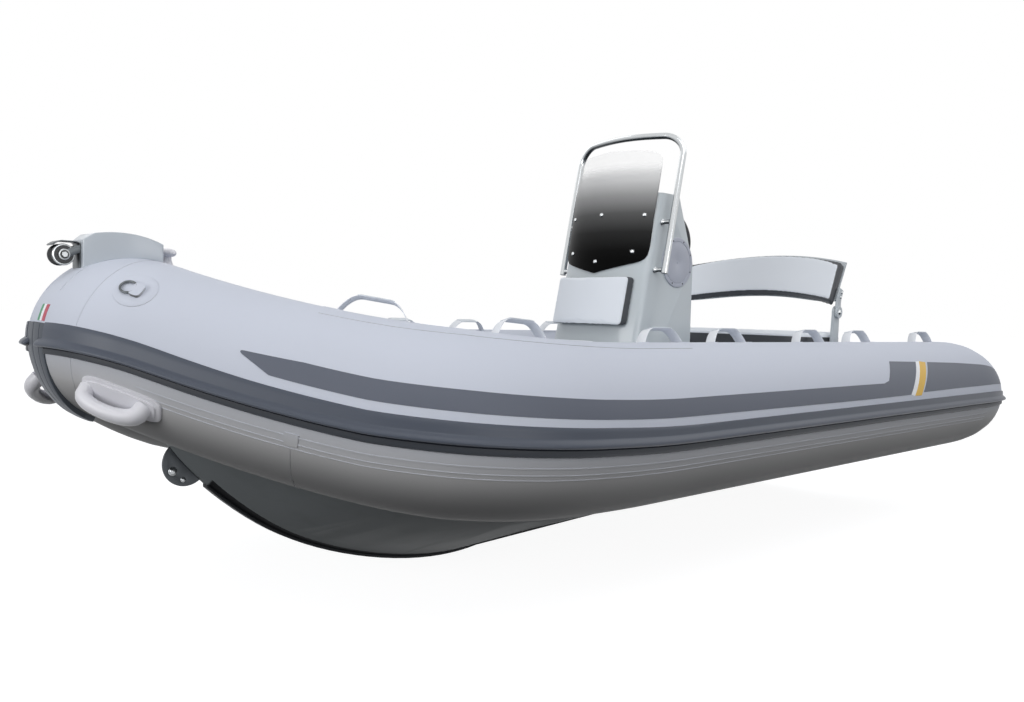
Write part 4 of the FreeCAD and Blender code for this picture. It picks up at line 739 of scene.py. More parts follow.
class BOAT_OT_strake(BoatPiece, bpy.types.Operator):
    """Sweeps the rubbing strake with its bead, and the strip up the middle of the bow"""
    bl_idname = "boat.strake"
    bl_label = "Rubbing strake"
    # distance, angles of the band's top, bead's top, bead's bottom and band's bottom
    angles = (
        (-0.373, 5.7, 0.2, -5.4, -10.9), (0.300, 7.2, 0.2, -5.2, -10.4), (0.760, 8.6, 0.2, -5.1, -9.9),
        (0.980, 9.9, 0.2, -5.0, -9.6), (1.0300, 10.0, 0.0, -5.2, -9.7), (1.0580, 9.8, -0.3, -5.5, -10.0),
        (1.0747, 9.5, -0.7, -5.9, -10.4), (1.0920, 8.9, -1.4, -6.6, -11.1), (1.1150, 7.9, -2.4, -7.7, -12.2),
        (1.1600, 6.0, -4.4, -9.8, -14.3), (1.2130, 3.8, -6.5, -12.0, -16.5),
    )
    # share of each part's width and stand off the tube
    band = ((0.0, -0.004), (0.0, 0.004), (0.06, 0.0058), (0.5, 0.0062), (0.94, 0.0060))
    bead = (
        (0.0, 0.0064), (0.08, 0.0080), (0.18, 0.0108), (0.29, 0.0142), (0.41, 0.0172), (0.53, 0.0193), (0.65, 0.0205),
        (0.76, 0.0205), (0.87, 0.0188), (0.95, 0.0155), (1.0, 0.0105), (0.98, 0.0030),
    )
    foot = ((0.14, 0.0010), (0.22, 0.0042), (0.6, 0.0058), (0.92, 0.0056), (1.0, 0.0035), (1.0, -0.004))
    # the bead's end: distance past the strip's edge, share of the bead's size
    tip_rows = (
        (0.0, 1.0), (0.0060, 1.0), (0.0095, 0.95), (0.0118, 0.82), (0.0131, 0.62), (0.0138, 0.36), (0.0140, 0.1))
    # painted shade: the bead's faces that look down, and the foot, take the dark rubber
    bead_dark, ends = 9, [False, False]  # the bead's faces from its ninth on look down

    def section(self, at):
        top, bead_top, bead_bottom, bottom = table_value(self.angles, at)
        row = [COLLAR.point(at, top + (bead_top - top) * share, lift) for share, lift in self.band]
        row += [COLLAR.point(at, bead_top + (bead_bottom - bead_top) * share, lift) for share, lift in self.bead]
        row += [COLLAR.point(at, bead_bottom + (bottom - bead_bottom) * share, lift) for share, lift in self.foot]
        return row

    def tip(self):
        """The bead's rounded end, which laps the strip."""
        rows, strip, root = [], COLLAR.end - 0.0310, 0.004
        for reach, scale in self.tip_rows:
            top, bead_top, bead_bottom, bottom = table_value(self.angles, strip + reach)
            middle = (bead_top + bead_bottom) / 2
            low, high = middle + (bead_bottom - middle) * scale, middle + (bead_top - middle) * scale
            inner = [(share, root + (lift - root) * scale) for share, lift in self.bead[1:-1]]
            bead = [(0.0, root)] + inner + [(1.0, root)]
            rows.append([COLLAR.point(strip + reach, high + (low - high) * share, lift) for share, lift in bead])
        points = flat(rows)
        return points, grid(rows, closed_columns=True) + caps(points, len(rows[0]))

    def build(self):
        stations = [COLLAR.aft - d for d in (0.43, 0.40, 0.37, 0.33, 0.29, 0.24, 0.18, 0.12, 0.06, 0.0)]
        stations += spread(COLLAR.aft, COLLAR.sheer_start, 8)[1:] + spread(COLLAR.sheer_start, COLLAR.leg_end, 60)[1:]
        stations += spread(COLLAR.leg_end, COLLAR.end - 0.030, 20)[1:]
        rows = [self.section(s) for s in stations]
        points, wide = flat(rows), len(rows[0])
        faces = grid(rows, closed_columns=True) + caps(points, wide)
        # painted shade: the faces under the bead and of the foot below it take the darker rubber, for the shade under
        # the bead
        low = len(self.band) + self.bead_dark
        dark = [i % wide >= low for i in range((len(rows) - 1) * wide)] + self.ends
        round_bead = len(self.bead)
        dark += [i % round_bead >= self.bead_dark for i in range((len(self.tip_rows) - 1) * round_bead)] + self.ends
        points, faces = gather([(points, faces), self.tip()])
        obj = piece(
            "strake_skin", *both_sides(points, faces), ("strake_rubber", "foot_rubber"), "boat",
            ("rubbing_strake_port", "rubbing_strake_starboard"), 50, "strake_rubber")
        shade(obj, dark + dark)
        self.strip()

    # the centre strip from its edge to its middle: distance from the middle, stand off the tube
    strip_rows = (
        (0.0300, -0.003), (0.0300, 0.0035), (0.0292, 0.0045), (0.0192, 0.0050), (0.0188, 0.0036), (0.0180, 0.0036),
        (0.0176, 0.0052), (0.0100, 0.0058), (0.0030, 0.0060), (0.0012, 0.0056), (0.0006, 0.0030), (0.0, 0.0030),
    )

    def strip(self):
        angles = spread(3.9, -75.1, 44)

        def proud(angle):
            """The strip thickens by 9 mm on its way down."""
            return 0.009 * min(max((-angle - 25.0) / 35.0, 0.0), 1.0)

        outer = [
            [COLLAR.point(COLLAR.end - d, a, lift + (proud(a) if lift > 0 else 0)) for a in angles]
            for d, lift in self.strip_rows]
        inner = [[COLLAR.point(COLLAR.end - d, a, -0.004) for a in angles] for d, lift in self.strip_rows]
        points, faces = both_sides(*thick_grid(outer, inner))
        obj = piece(
            "bow_strip_skin", points, faces, ("strip_rubber", "keel_rubber"), "boat", ("bow_strip",), 40,
            "strake_rubber")
        # painted shade: below 0.17 m the strip takes the keel's black rubber, for the shade where it turns under the
        # nose
        shade(obj, [sum(points[i].z for i in face) / len(face) < 0.17 for face in faces])


def shade(obj, second):
    """Gives faces the piece's second finish where the list says so."""
    for polygon, flag in zip(obj.data.polygons, second):
        polygon.material_index = int(flag)


class BOAT_OT_webbing(BoatPiece, bpy.types.Operator):
    """Sews the arched grab loops, with their sleeves and the pads that hold their ends"""
    bl_idname = "boat.webbing"
    bl_label = "Grab loops"
    # distances along the tube; the loops stand a little inboard of its top
    places = (0.566, 0.082, -0.585, -0.978, -1.575, -2.002, -2.690)
    angle, chord, height, width = 104.0, 0.200, 0.052, 0.040
    thick, sleeve, sleeve_thick, sleeve_lift, pad_reach = 0.0026, 0.042, 0.0042, 0.0012, 0.110

    def build(self):
        webbing, sleeves, pads = [], [], []
        for at in self.places:
            start, end = [COLLAR.point(at + reach, self.angle, 0.0005) for reach in (-self.chord / 2, self.chord / 2)]
            way = (end - start).normalized()
            wide = way.cross(COLLAR.normal(at, self.angle)).normalized()
            radial = wide.cross(way)
            middle, half = (start + end) / 2, (end - start).length / 2

            def spot(share):
                """A place on the loop, which climbs from each end and is nearly flat along its top."""
                across = 2 * share - 1
                rise = min((1 - abs(across)) / 0.62, 1.0)
                out = (self.height - 0.003) * (1 - (1 - rise) ** 2.2)
                return middle + way * (half * across) + radial * out

            path = [spot(share) for share in spread(0, 1, 28)]
            webbing.append(sweep(path, strap_section(self.width, self.thick), start=wide))
            path = [spot(share) + radial * self.sleeve_lift for share in spread(0.24, 0.76, 24)]
            sleeves.append(sweep(path, strap_section(self.sleeve, self.sleeve_thick), start=wide))
            for reach in (-self.pad_reach, self.pad_reach):
                pads.append(patch((at + reach, self.angle), (0.032, 0.026), 0.0022, power=5.0, rings=2, sides=28))
        port, faces = gather(webbing)
        for name, side in (("port", 1), ("starboard", -1)):
            points = [Vector((p[0], side * p[1], p[2])) for p in port]
            piece("grab_webbing_" + name, points, faces, "webbing", "boat", ("grab_loops_" + name,), 50, "webbing")
        piece("grab_sleeves", *both_sides(*gather(sleeves)), "sleeve", "boat", smooth=50, slot="webbing")
        piece("grab_pads", *both_sides(*gather(pads)), "tube_fabric", "boat", smooth=50, slot="collar_fabric")


class BOAT_OT_fittings(BoatPiece, bpy.types.Operator):
    """Moulds the carry handles and the rings on the bow of the tube"""
    bl_idname = "boat.fittings"
    bl_label = "Handles and rings"

    def build(self):
        self.handles()
        self.rings()

    def handles(self):
        at, angle = 1.052, -30.0
        base = patch((at, angle), (0.108, 0.036), 0.0065, power=4.5)
        ridge = patch((at, angle), (0.096, 0.027), 0.0105, power=4.5)
        path = []
        for share in spread(0, 1, 40):
            rise = max(math.sin(math.pi * share), 0.0) ** 0.26
            spot = COLLAR.walk(at, angle, -0.062 + 0.154 * share)
            path.append(COLLAR.point(spot, angle - 4.0 * rise, 0.002 + 0.042 * rise))

        def grip(share):
            """The grip is thickest at its roots and a little thicker at its after end."""
            thick = 0.0190 + 0.003 * (1 - share) + 0.003 * abs(2 * share - 1) ** 3
            return disc(thick, 20, 0.9)

        piece(
            "carry_handle_skin", *both_sides(*gather([base, ridge, sweep(path, grip)])), "soft_white_rubber", "boat",
            ("carry_handles",), 50, "grey_plastic")

    def rings(self):
        at, angle = COLLAR.leg_end + math.radians(6.5) * COLLAR.nose_bend, 41.5
        pad = patch((at, 43.0), (0.055, 0.055), 0.0014)
        # the tab holds the ring's after side down
        tab = patch((COLLAR.walk(at, angle, -0.010), angle), (0.015, 0.0195), 0.0095, power=4.0, rings=3, sides=32)
        at = COLLAR.walk(at, angle, 0.015)
        centre = COLLAR.point(at, angle, 0.0060)
        normal = COLLAR.normal(at, angle)
        side = COLLAR.frame(at)[1]
        loop = bar(turn_path(centre, side * 0.0200, normal.cross(side) * 0.0185, 0, 360, 40)[:-1], 0.0030, 12, True)
        piece("ring_pads", *both_sides(*gather([pad, tab])), "tube_fabric", "boat", smooth=50, slot="collar_fabric")
        piece("bow_rings", *both_sides(*loop), "cast_stainless", "boat", ("d_rings",), 60, "stainless")


class Console:
    """The bowed front of the console, the same as the frame's: it leans back above its knee."""
    bow, lean, knee, front, half = 0.400, 0.222, 0.515, 0.030, 0.228

    def point(self, y, height, off=0.0):
        norm = math.hypot(1, self.lean)
        reach = math.sqrt((self.bow + off) ** 2 - y * y) - self.bow
        h = height - reach * self.lean / norm
        return Vector((self.front - self.lean * (h - self.knee) + reach / norm, y, height))

    def normal(self, y):
        norm = math.hypot(1, self.lean)
        ahead = math.sqrt(self.bow ** 2 - y * y) / self.bow
        return Vector((ahead / norm, y / self.bow, ahead * self.lean / norm))


CONSOLE = Console()
RAIL_FOOT, RAIL_LEAN = Vector((-0.150, 0.280, 0.830)), 0.205


def rail_point(y, height):
    return Vector((RAIL_FOOT.x - RAIL_LEAN * (height - RAIL_FOOT.z), y, height))


class BOAT_OT_console(BoatPiece, bpy.types.Operator):
    """Makes the windscreen, the grab rail with its posts and the inspection covers"""
    bl_idname = "boat.console"
    bl_label = "Console fittings"
    # height, how much narrower each side is than the outline below, how far the sheet stands forward
    eased = (
        (0.829, 0.0, 0.0), (0.880, 0.0, 0.0), (0.942, 0.003, 0.005), (1.053, 0.009, 0.010), (1.170, 0.0135, 0.016),
        (1.300, -0.004, 0.012), (1.350, -0.003, 0.012),
    )
    # the windscreen's outline: height, half breadth
    screen = (
        (0.829, 0.0006), (0.8395, 0.045), (0.8500, 0.090), (0.8605, 0.135), (0.8690, 0.170), (0.8770, 0.193),
        (0.8880, 0.2085), (0.9030, 0.2175), (0.9250, 0.2225), (0.960, 0.2258), (1.053, 0.230), (1.110, 0.2335),
        (1.170, 0.237), (1.230, 0.2275), (1.280, 0.2195), (1.305, 0.2150), (1.3200, 0.2070), (1.3310, 0.1930),
        (1.3380, 0.1740), (1.3410, 0.150), (1.3440, 0.100), (1.3470, 0.050), (1.350, 0.0006),
    )
    cover, cover_radius = Vector((-0.307, 0.228, 0.884)), 0.105

    def build(self):
        self.windscreen()
        self.rail()
        self.covers()

    def windscreen(self):
        shares = [i / 28 for i in range(-28, 29)]
        least, front, back = 0.0006, 0.0063, 0.0010
        outer, inner = [], []
        for z, half in self.screen:
            less, ahead = table_value(self.eased, z)
            half = max(half - less, least)
            for rows, off in ((outer, front), (inner, back)):
                rows.append([CONSOLE.point(half * share, z, off) + Vector((ahead, 0, 0)) for share in shares])
        piece("windscreen_skin", *thick_grid(outer, inner), "acrylic", "boat", ("windscreen",), 50, "acrylic")

    def rail(self):
        radius, bend, top = 0.0135, 0.090, 1.415
        # the top bar droops towards its ends, most where it is highest, and bows forward at its middle
        droop, droop_from, droop_over, forward = 0.014, 1.30, 0.12, 0.050

        def away(spot):
            return (spot.y / RAIL_FOOT.y) ** 2

        up = (rail_point(0, 1.4) - rail_point(0, 0.9)).normalized()
        shoulder = rail_point(RAIL_FOOT.y, top) - up * bend
        centre = shoulder - Vector((0, bend, 0))
        path = [rail_point(RAIL_FOOT.y, RAIL_FOOT.z) + (shoulder - RAIL_FOOT) * i / 6 for i in range(6)]
        path += turn_path(centre, (0, bend, 0), up * bend, 0, 90, 14)
        for spot in path[6:]:
            spot.z -= droop * away(spot) * (spot.z - droop_from) / droop_over
        path += [Vector((path[-1].x, y, top)) for y in (0.15, 0.10, 0.05)]
        for spot in path[-3:]:
            spot.z -= droop * away(spot)
        for spot in path[6:]:
            spot.x += forward * (1 - away(spot))
        middle = Vector((path[-1].x + 0.002, 0, top))
        path += [middle] + [Vector((p.x, -p.y, p.z)) for p in reversed(path)]
        piece("grab_rail_skin", *bar(path, radius, 24), "stainless", "boat", ("grab_rail",), 60, "stainless")
        # a flange on the console's side, a neck and the socket that takes the rail
        profile = [
            (0.0, 0.0125), (0.0050, 0.0125), (0.0064, 0.0112), (0.0066, 0.0100), (0.0078, 0.0090), (0.030, 0.0090),
            (0.0300, 0.0098), (0.0400, 0.0098),
        ]
        posts = []
        for rise in (0.015, 0.214):
            end = rail_point(RAIL_FOOT.y, RAIL_FOOT.z + rise)
            posts.append(lathe((end.x, CONSOLE.half, end.z), (0, 1, 0), profile, 32))
        piece("rail_post_skins", *both_sides(*gather(posts)), "stainless", "boat", ("rail_posts",), 40, "stainless")

    def covers(self):
        r = self.cover_radius
        # a flat rim, a groove round the lid, the lid and a finger hole at its middle
        profile = [
            (-0.001, r), (0.0030, r), (0.0046, r - 0.0018), (0.0050, r - 0.004), (0.0050, r - 0.016),
            (0.0044, r - 0.0165), (0.0030, r - 0.0170), (0.0030, r - 0.0182), (0.0044, r - 0.0188),
            (0.0048, r - 0.020), (0.0048, 0.014), (0.0036, 0.0115), (0.0036, 0.0045), (0.0052, 0.0040), (0.0052, 0.001),
        ]
        piece(
            "inspection_cover_skins", *both_sides(*lathe(self.cover, (0, 1, 0), profile, 72)), "lilac_plastic", "boat",
            ("inspection_covers",), 30, "grey_plastic")


class BOAT_OT_wheel(BoatPiece, bpy.types.Operator):
    """Makes the steering wheel: a padded rim, three spokes and a cap"""
    bl_idname = "boat.wheel"
    bl_label = "Steering wheel"
    # where its shaft leaves the dash, the shaft's way out and the way up across it
    dash, out, up = Vector((-0.38345, 0, 0.975)), Vector((-0.926524, 0, 0.376235)), Vector((0.376235, 0, 0.926524))
    reach, radius, rim = 0.110, 0.146, 0.0145

    def build(self):
        centre = self.dash + self.out * self.reach
        side = Vector((0, 1, 0))
        ring = turn_path(centre, self.up * self.radius, side * self.radius, 0, 360, 96)[:-1]
        piece(
            "wheel_rim", *bar(ring, self.rim, 16, True), "padded_rim", "steering_wheel", ("steering_wheel",), 60,
            "black_plastic")
        metal, inner = [], 0.020
        hub = centre - self.out * 0.014
        for angle in (0, 120, 240):
            t = math.radians(angle)
            way = self.up * math.cos(t) + side * math.sin(t)
            across = self.out.cross(way)
            # each spoke rises by 13 mm from the hub to the rim
            path = [
                hub + way * (inner + (self.radius - inner) * i / 8) + self.out * (0.013 * (i / 8) ** 2)
                for i in range(9)]

            def spoke(share):
                """A flat bar that narrows by four tenths."""
                return [(a * (1 - 0.4 * share), b) for a, b in strap_section(0.028, 0.005)]

            metal.append(sweep(path, spoke, start=across))
        metal.append(lathe(self.dash - self.out * 0.012, self.out, [(0.0, 0.009), (0.086, 0.009)], 24))
        metal.append(lathe(centre - self.out * 0.018, self.out, [(0.0, 0.026), (0.010, 0.030), (0.012, 0.030)], 40))
        piece("wheel_spokes", *gather(metal), "stainless", "steering_wheel", smooth=40, slot="stainless")
        domed = [(0.0, 0.0285), (0.006, 0.028), (0.009, 0.024), (0.0102, 0.012), (0.0105, 0.002)]
        cap = lathe(centre - self.out * 0.0062, self.out, domed, 40)
        piece("wheel_cap", *cap, "black_plastic", "steering_wheel", smooth=40, slot="black_plastic")


# ---- fasteners ----
def fastener_group():
    """Nodes that set a domed head on each point, along the point's own way and to its own size."""
    tree = bpy.data.node_groups.new("fasteners", "GeometryNodeTree")
    for label, kind in (
        ("Geometry", "Geometry"), ("Head radius", "Float"), ("Washer radius", "Float"), ("Seed", "Int"),
        ("Finish", "Material"),
    ):
        tree.interface.new_socket(label, in_out="INPUT", socket_type="NodeSocket" + kind)
    tree.interface.new_socket("Geometry", in_out="OUTPUT", socket_type="NodeSocketGeometry")
    given = add_node(tree, "NodeGroupInput").outputs
    # a low dome on a washer 1.6 mm thick
    dome = add_node(tree, "GeometryNodeMeshUVSphere", {"Segments": 20, "Rings": 10}, {"Radius": given["Head radius"]})
    low_dome = add_node(
        tree, "GeometryNodeTransform", {"Scale": (1.0, 1.0, 0.62), "Translation": (0.0, 0.0, 0.0006)},
        {"Geometry": dome.outputs["Mesh"]})
    washer = add_node(
        tree, "GeometryNodeMeshCylinder", {"Vertices": 24, "Depth": 0.0016}, {"Radius": given["Washer radius"]})
    head = add_node(tree, "GeometryNodeJoinGeometry", None, {"Geometry": low_dome.outputs["Geometry"]})
    tree.links.new(washer.outputs["Mesh"], head.inputs["Geometry"])
    # each head turns to its own way, and by chance about it
    way = add_node(tree, "GeometryNodeInputNamedAttribute", {"Name": "way"}, data_type="FLOAT_VECTOR")
    size = add_node(tree, "GeometryNodeInputNamedAttribute", {"Name": "size"}, data_type="FLOAT")
    turned = add_node(
        tree, "FunctionNodeAlignRotationToVector", None, {"Vector": way.outputs["Attribute"]}, axis="Z")
    spin = add_node(tree, "FunctionNodeRandomValue", {2: 0.0, 3: 6.28}, {"Seed": given["Seed"]}, data_type="FLOAT")
    about = add_node(
        tree, "FunctionNodeAxisAngleToRotation", {"Axis": (0.0, 0.0, 1.0)}, {"Angle": spin.outputs[1]})
    both = add_node(
        tree, "FunctionNodeRotateRotation", None, {0: turned.outputs[0], 1: about.outputs[0]}, rotation_space="LOCAL")
    many = add_node(
        tree, "GeometryNodeInstanceOnPoints", None, {
            "Points": given["Geometry"], "Instance": head.outputs["Geometry"], "Rotation": both.outputs[0],
            "Scale": size.outputs["Attribute"]})
    real = add_node(tree, "GeometryNodeRealizeInstances", None, {"Geometry": many.outputs["Instances"]})
    paint = add_node(
        tree, "GeometryNodeSetMaterial", None, {"Geometry": real.outputs["Geometry"], "Material": given["Finish"]})
    add_node(tree, "NodeGroupOutput", None, {"Geometry": paint.outputs["Geometry"]})
    return tree


def both_ways(y, places):
    """Places for heads on both sides of the boat: distances ahead and up, and sizes."""
    return [(Vector((x, side * y, z)), Vector((0, side, 0)), size) for side in (1, -1) for x, z, size in places]


def fasten(name, kind, body, places, head, washer):
    """Sets a head at each place: a point, its way out and its size."""
    mesh = bpy.data.meshes.new(name + "_places")
    mesh.from_pydata([tuple(spot) for spot, way, size in places], [], [])
    ways = mesh.attributes.new("way", "FLOAT_VECTOR", "POINT")
    ways.data.foreach_set("vector", [value for spot, way, size in places for value in way])
    scale = mesh.attributes.new("size", "FLOAT", "POINT")
    scale.data.foreach_set("value", [size for spot, way, size in places])
    obj = bpy.data.objects.new(name, mesh)
    bpy.context.scene.collection.objects.link(obj)
    group = bpy.data.node_groups.get("fasteners") or fastener_group()
    nodes = obj.modifiers.new("fasteners", "NODES")
    nodes.node_group = group
    values = {"Head radius": head, "Washer radius": washer, "Seed": 3, "Finish": material(kind)}
    for item in group.interface.items_tree:
        if item.item_type == "SOCKET" and item.in_out == "INPUT" and item.name in values:
            nodes[item.identifier] = values[item.name]
    bake(obj)
    obj.data.shade_smooth()
    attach(obj, body)


class BOAT_OT_fasteners(BoatPiece, bpy.types.Operator):
    """Sets the screws of the windscreen and the covers and the bolts of the towing plate"""
    bl_idname = "boat.fasteners"
    bl_label = "Screws and bolts"

    def build(self):
        places = []
        for y, z in ((0.190, 1.069), (-0.190, 1.069), (0, 1.075), (0.163, 0.917), (-0.163, 0.917), (0, 0.877)):
            ahead = table_value(BOAT_OT_console.eased, z)[1]
            places.append((CONSOLE.point(y, z, 0.0068) + Vector((ahead, 0, 0)), CONSOLE.normal(y), 1.0))
        fasten("screen_screws", "stainless", "boat", places, 0.0086, 0.0092)
        cover, radius = BOAT_OT_console.cover, BOAT_OT_console.cover_radius - 0.010
        turns = [math.radians(22.5 + 45 * i) for i in range(8)]
        places = both_ways(
            cover.y + 0.0050, [(cover.x + radius * math.cos(t), cover.z + radius * math.sin(t), 1.0) for t in turns])
        fasten("cover_screws", "black_plastic", "boat", places, 0.0026, 0.0032)
        places = both_ways(0.0040, ((1.759, 0.174, 1.0), (1.728, 0.147, 0.6)))
        fasten("plate_bolts", "washer_steel", "boat", places, 0.0095, 0.0128)


# ---- padded pieces ----
SWELL_FRAMES = 20  # how long the cloth swells
SLOPE_STEP = 1e-3  # the step over which a depth's slope is taken


def inflate(obj, voxel, cap, depth_of, thickness):
    """Swells a closed shape as cloth filled with foam, flat where it rests, and caps how far it moves."""
    scene = bpy.context.scene
    remesh = obj.modifiers.new("remesh", "REMESH")
    remesh.mode = "VOXEL"
    remesh.voxel_size = voxel
    bake(obj)
    rest = [v.co.copy() for v in obj.data.vertices]
    cloth = obj.modifiers.new("cloth", "CLOTH")
    for key, value in (
        ("quality", 5), ("use_pressure", True), ("uniform_pressure_force", 4.0), ("tension_stiffness", 12.0),
        ("compression_stiffness", 12.0), ("bending_stiffness", 0.4),
    ):
        setattr(cloth.settings, key, value)
    cloth.settings.effector_weights.gravity = 0.0
    cloth.collision_settings.use_collision = False
    cloth.point_cache.frame_start, cloth.point_cache.frame_end = 1, SWELL_FRAMES
    for number in range(1, SWELL_FRAMES + 1):
        scene.frame_set(number)
    bake(obj)
    scene.frame_set(1)
    for vertex, start in zip(obj.data.vertices, rest):
        move = vertex.co - start
        if move.length > cap:
            move *= cap / move.length
        spot = start + move
        # what has swollen past the back goes back onto it
        under = depth_of(spot) - thickness
        if under > 0:
            here = depth_of(spot)
            steps = [Vector([SLOPE_STEP if i == axis else 0 for i in range(3)]) for axis in range(3)]
            way = Vector([(depth_of(spot + step) - here) / SLOPE_STEP for step in steps])
            spot -= way * (under / max(way.length_squared, 1e-6))
        vertex.co = spot
    finer = obj.modifiers.new("finer", "SUBSURF")
    finer.levels = finer.render_levels = 1
    bake(obj)


def pad(name, grids, depth_of, thickness, seam, body, replaced, voxel, cap, edge, fill=0.8):
    """A cushion between two grids of points: a pale face, dark sides and a welt along the seam between them."""
    points, faces = thick_grid(*grids)
    mesh = bpy.data.meshes.new(name)
    mesh.from_pydata([tuple(p) for p in points], [], faces)
    obj = bpy.data.objects.new(name, mesh)
    bpy.context.scene.collection.objects.link(obj)
    settle(obj, 180.0)
    round_off = obj.modifiers.new("edge", "BEVEL")
    round_off.width = edge
    round_off.segments = 4
    round_off.limit_method = "ANGLE"
    round_off.angle_limit = math.radians(50)
    bake(obj)
    inflate(obj, voxel, cap, depth_of, thickness)
    obj.data.materials.clear()
    obj.data.materials.append(material("upholstery"))
    layer = obj.data.attributes.new("seam", "FLOAT", "POINT")
    layer.data.foreach_set("value", [depth_of(v.co) - seam for v in obj.data.vertices])
    obj.data.shade_smooth()
    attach(obj, body)
    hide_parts(*replaced)


def superellipse(u, v, power):
    """Moves a place on a square, from -1 to 1 each way, onto a square with rounded corners."""
    size = max(abs(u), abs(v))
    if size < 1e-9:
        return 0.0, 0.0
    reach = (abs(u) ** power + abs(v) ** power) ** (1 / power)
    share = size / reach
    return u * share, v * share


def pad_grids(wide, high, spot, power):
    """A pad's two grids, its face (depth 0) and its back (depth 1), from a function of place and depth."""
    return [
        [[spot(*superellipse(u, v, power), depth) for u in spread(-1, 1, wide)] for v in spread(-1, 1, high)]
        for depth in (0, 1)]


# the firm pads of the backs are cut from sheet foam, and the seats are crowned
FIRM, CROWNED = {"voxel": 0.005, "cap": 0.0025, "edge": 0.005}, {"voxel": 0.006, "cap": 0.010, "edge": 0.012}
BACK_GAP = 0.001  # how far a firm pad's back stays off what it lies on


class BOAT_OT_cushions(BoatPiece, bpy.types.Operator):
    """Sews and fills the cushions of the console, the seats and the backrest"""
    bl_idname = "boat.cushions"
    bl_label = "Cushions"

    def build(self):
        self.console_pad()
        self.seat_pad()
        self.bench_pad()
        self.back_pad()

    def console_pad(self):
        middle, half, tall, thick, trim = 0.713, 0.190, 0.102, 0.046, 0.003

        def spot(u, v, depth):
            off = thick - trim if depth == 0 else 0.0012
            return CONSOLE.point(u * (half - trim), middle + v * (tall - trim), off)

        def depth_of(p):
            norm = math.hypot(1, CONSOLE.lean)
            h = p.z - CONSOLE.knee
            out = (p.x - (CONSOLE.front - CONSOLE.lean * h)) / norm + CONSOLE.bow
            return thick - (math.hypot(out, p.y) - CONSOLE.bow)

        pad(
            "front_pad", pad_grids(30, 16, spot, 34.0), depth_of, thick - BACK_GAP, 0.0070, "boat",
            ("front_cushion",), **FIRM)

    def seat_pad(self):
        low, high, trim = 0.4875, 0.547, 0.006
        middle, half_length, half_width = 0.2425, 0.1375, 0.210

        def spot(u, v, depth):
            x = middle + u * (half_length - trim)
            return Vector((x, v * (half_width - trim), high - trim if depth == 0 else low))

        def depth_of(p):
            return high - p.z

        pad(
            "front_seat_pad", pad_grids(20, 24, spot, 9.0), depth_of, high - low, 0.016, "front_seat_lid",
            ("front_seat_cushion",), **CROWNED)

    def bench_pad(self):
        low, high, trim = 0.5153, 0.600, 0.006
        half_width, front_middle, front_bow, back_edge = 0.450, -1.180, 0.100, -1.420

        def spot(u, v, depth):
            y = v * (half_width - trim)
            front = front_middle + front_bow * (y / half_width) ** 2 - trim
            back = back_edge + trim
            return Vector(((front + back) / 2 + u * (front - back) / 2, y, high - trim if depth == 0 else low))

        def depth_of(p):
            return high - p.z

        pad(
            "bench_pad", pad_grids(16, 48, spot, 10.0), depth_of, high - low, 0.022, "boat", ("bench_cushion",),
            **CROWNED)

    def back_pad(self):
        thick, trim = 0.045, 0.004

        def spot(u, v, depth):
            point = backrest_point(u * 0.459, 0.5 + v * 0.492, -trim)
            if depth == 0:
                return point
            return point - BACK_OUT * (thick - trim - 0.0008) - BACK_UP * (0.006 * (1 - v) / 2)

        def depth_of(p):
            return BACK_BOW * (p.y / BACK_HALF_WIDTH) ** 2 - (p - BACK_MIDDLE).dot(BACK_OUT)

        pad(
            "backrest_pad", pad_grids(48, 14, spot, 70.0), depth_of, thick - BACK_GAP, 0.0045, "backrest",
            ("backrest_cushion",), **FIRM)


# the backrest's way up, its way out towards the bow and the middle of its face
BACK_UP, BACK_OUT = Vector((-0.46556, 0, 0.88502)), Vector((0.88502, 0, 0.46556))
BACK_MIDDLE = Vector((-1.3705, 0, 0.899))
# its ends come forward and drop
BACK_HALF_WIDTH, BACK_BOW, BACK_DROP, BACK_FOOT, BACK_TALL = 0.46, 0.072, 0.052, 0.803, 0.192


def backrest_point(y, share, off):
    """A point on the backrest by its breadth, its share of the height and how far it stands off the face."""
    away = (y / BACK_HALF_WIDTH) ** 2
    off += BACK_BOW * away
    z = BACK_FOOT - BACK_DROP * away + BACK_TALL * share
    spot = BACK_MIDDLE + BACK_UP * ((z - BACK_MIDDLE.z - BACK_OUT.z * off) / BACK_UP.z) + BACK_OUT * off
    spot.y = y
    return spot


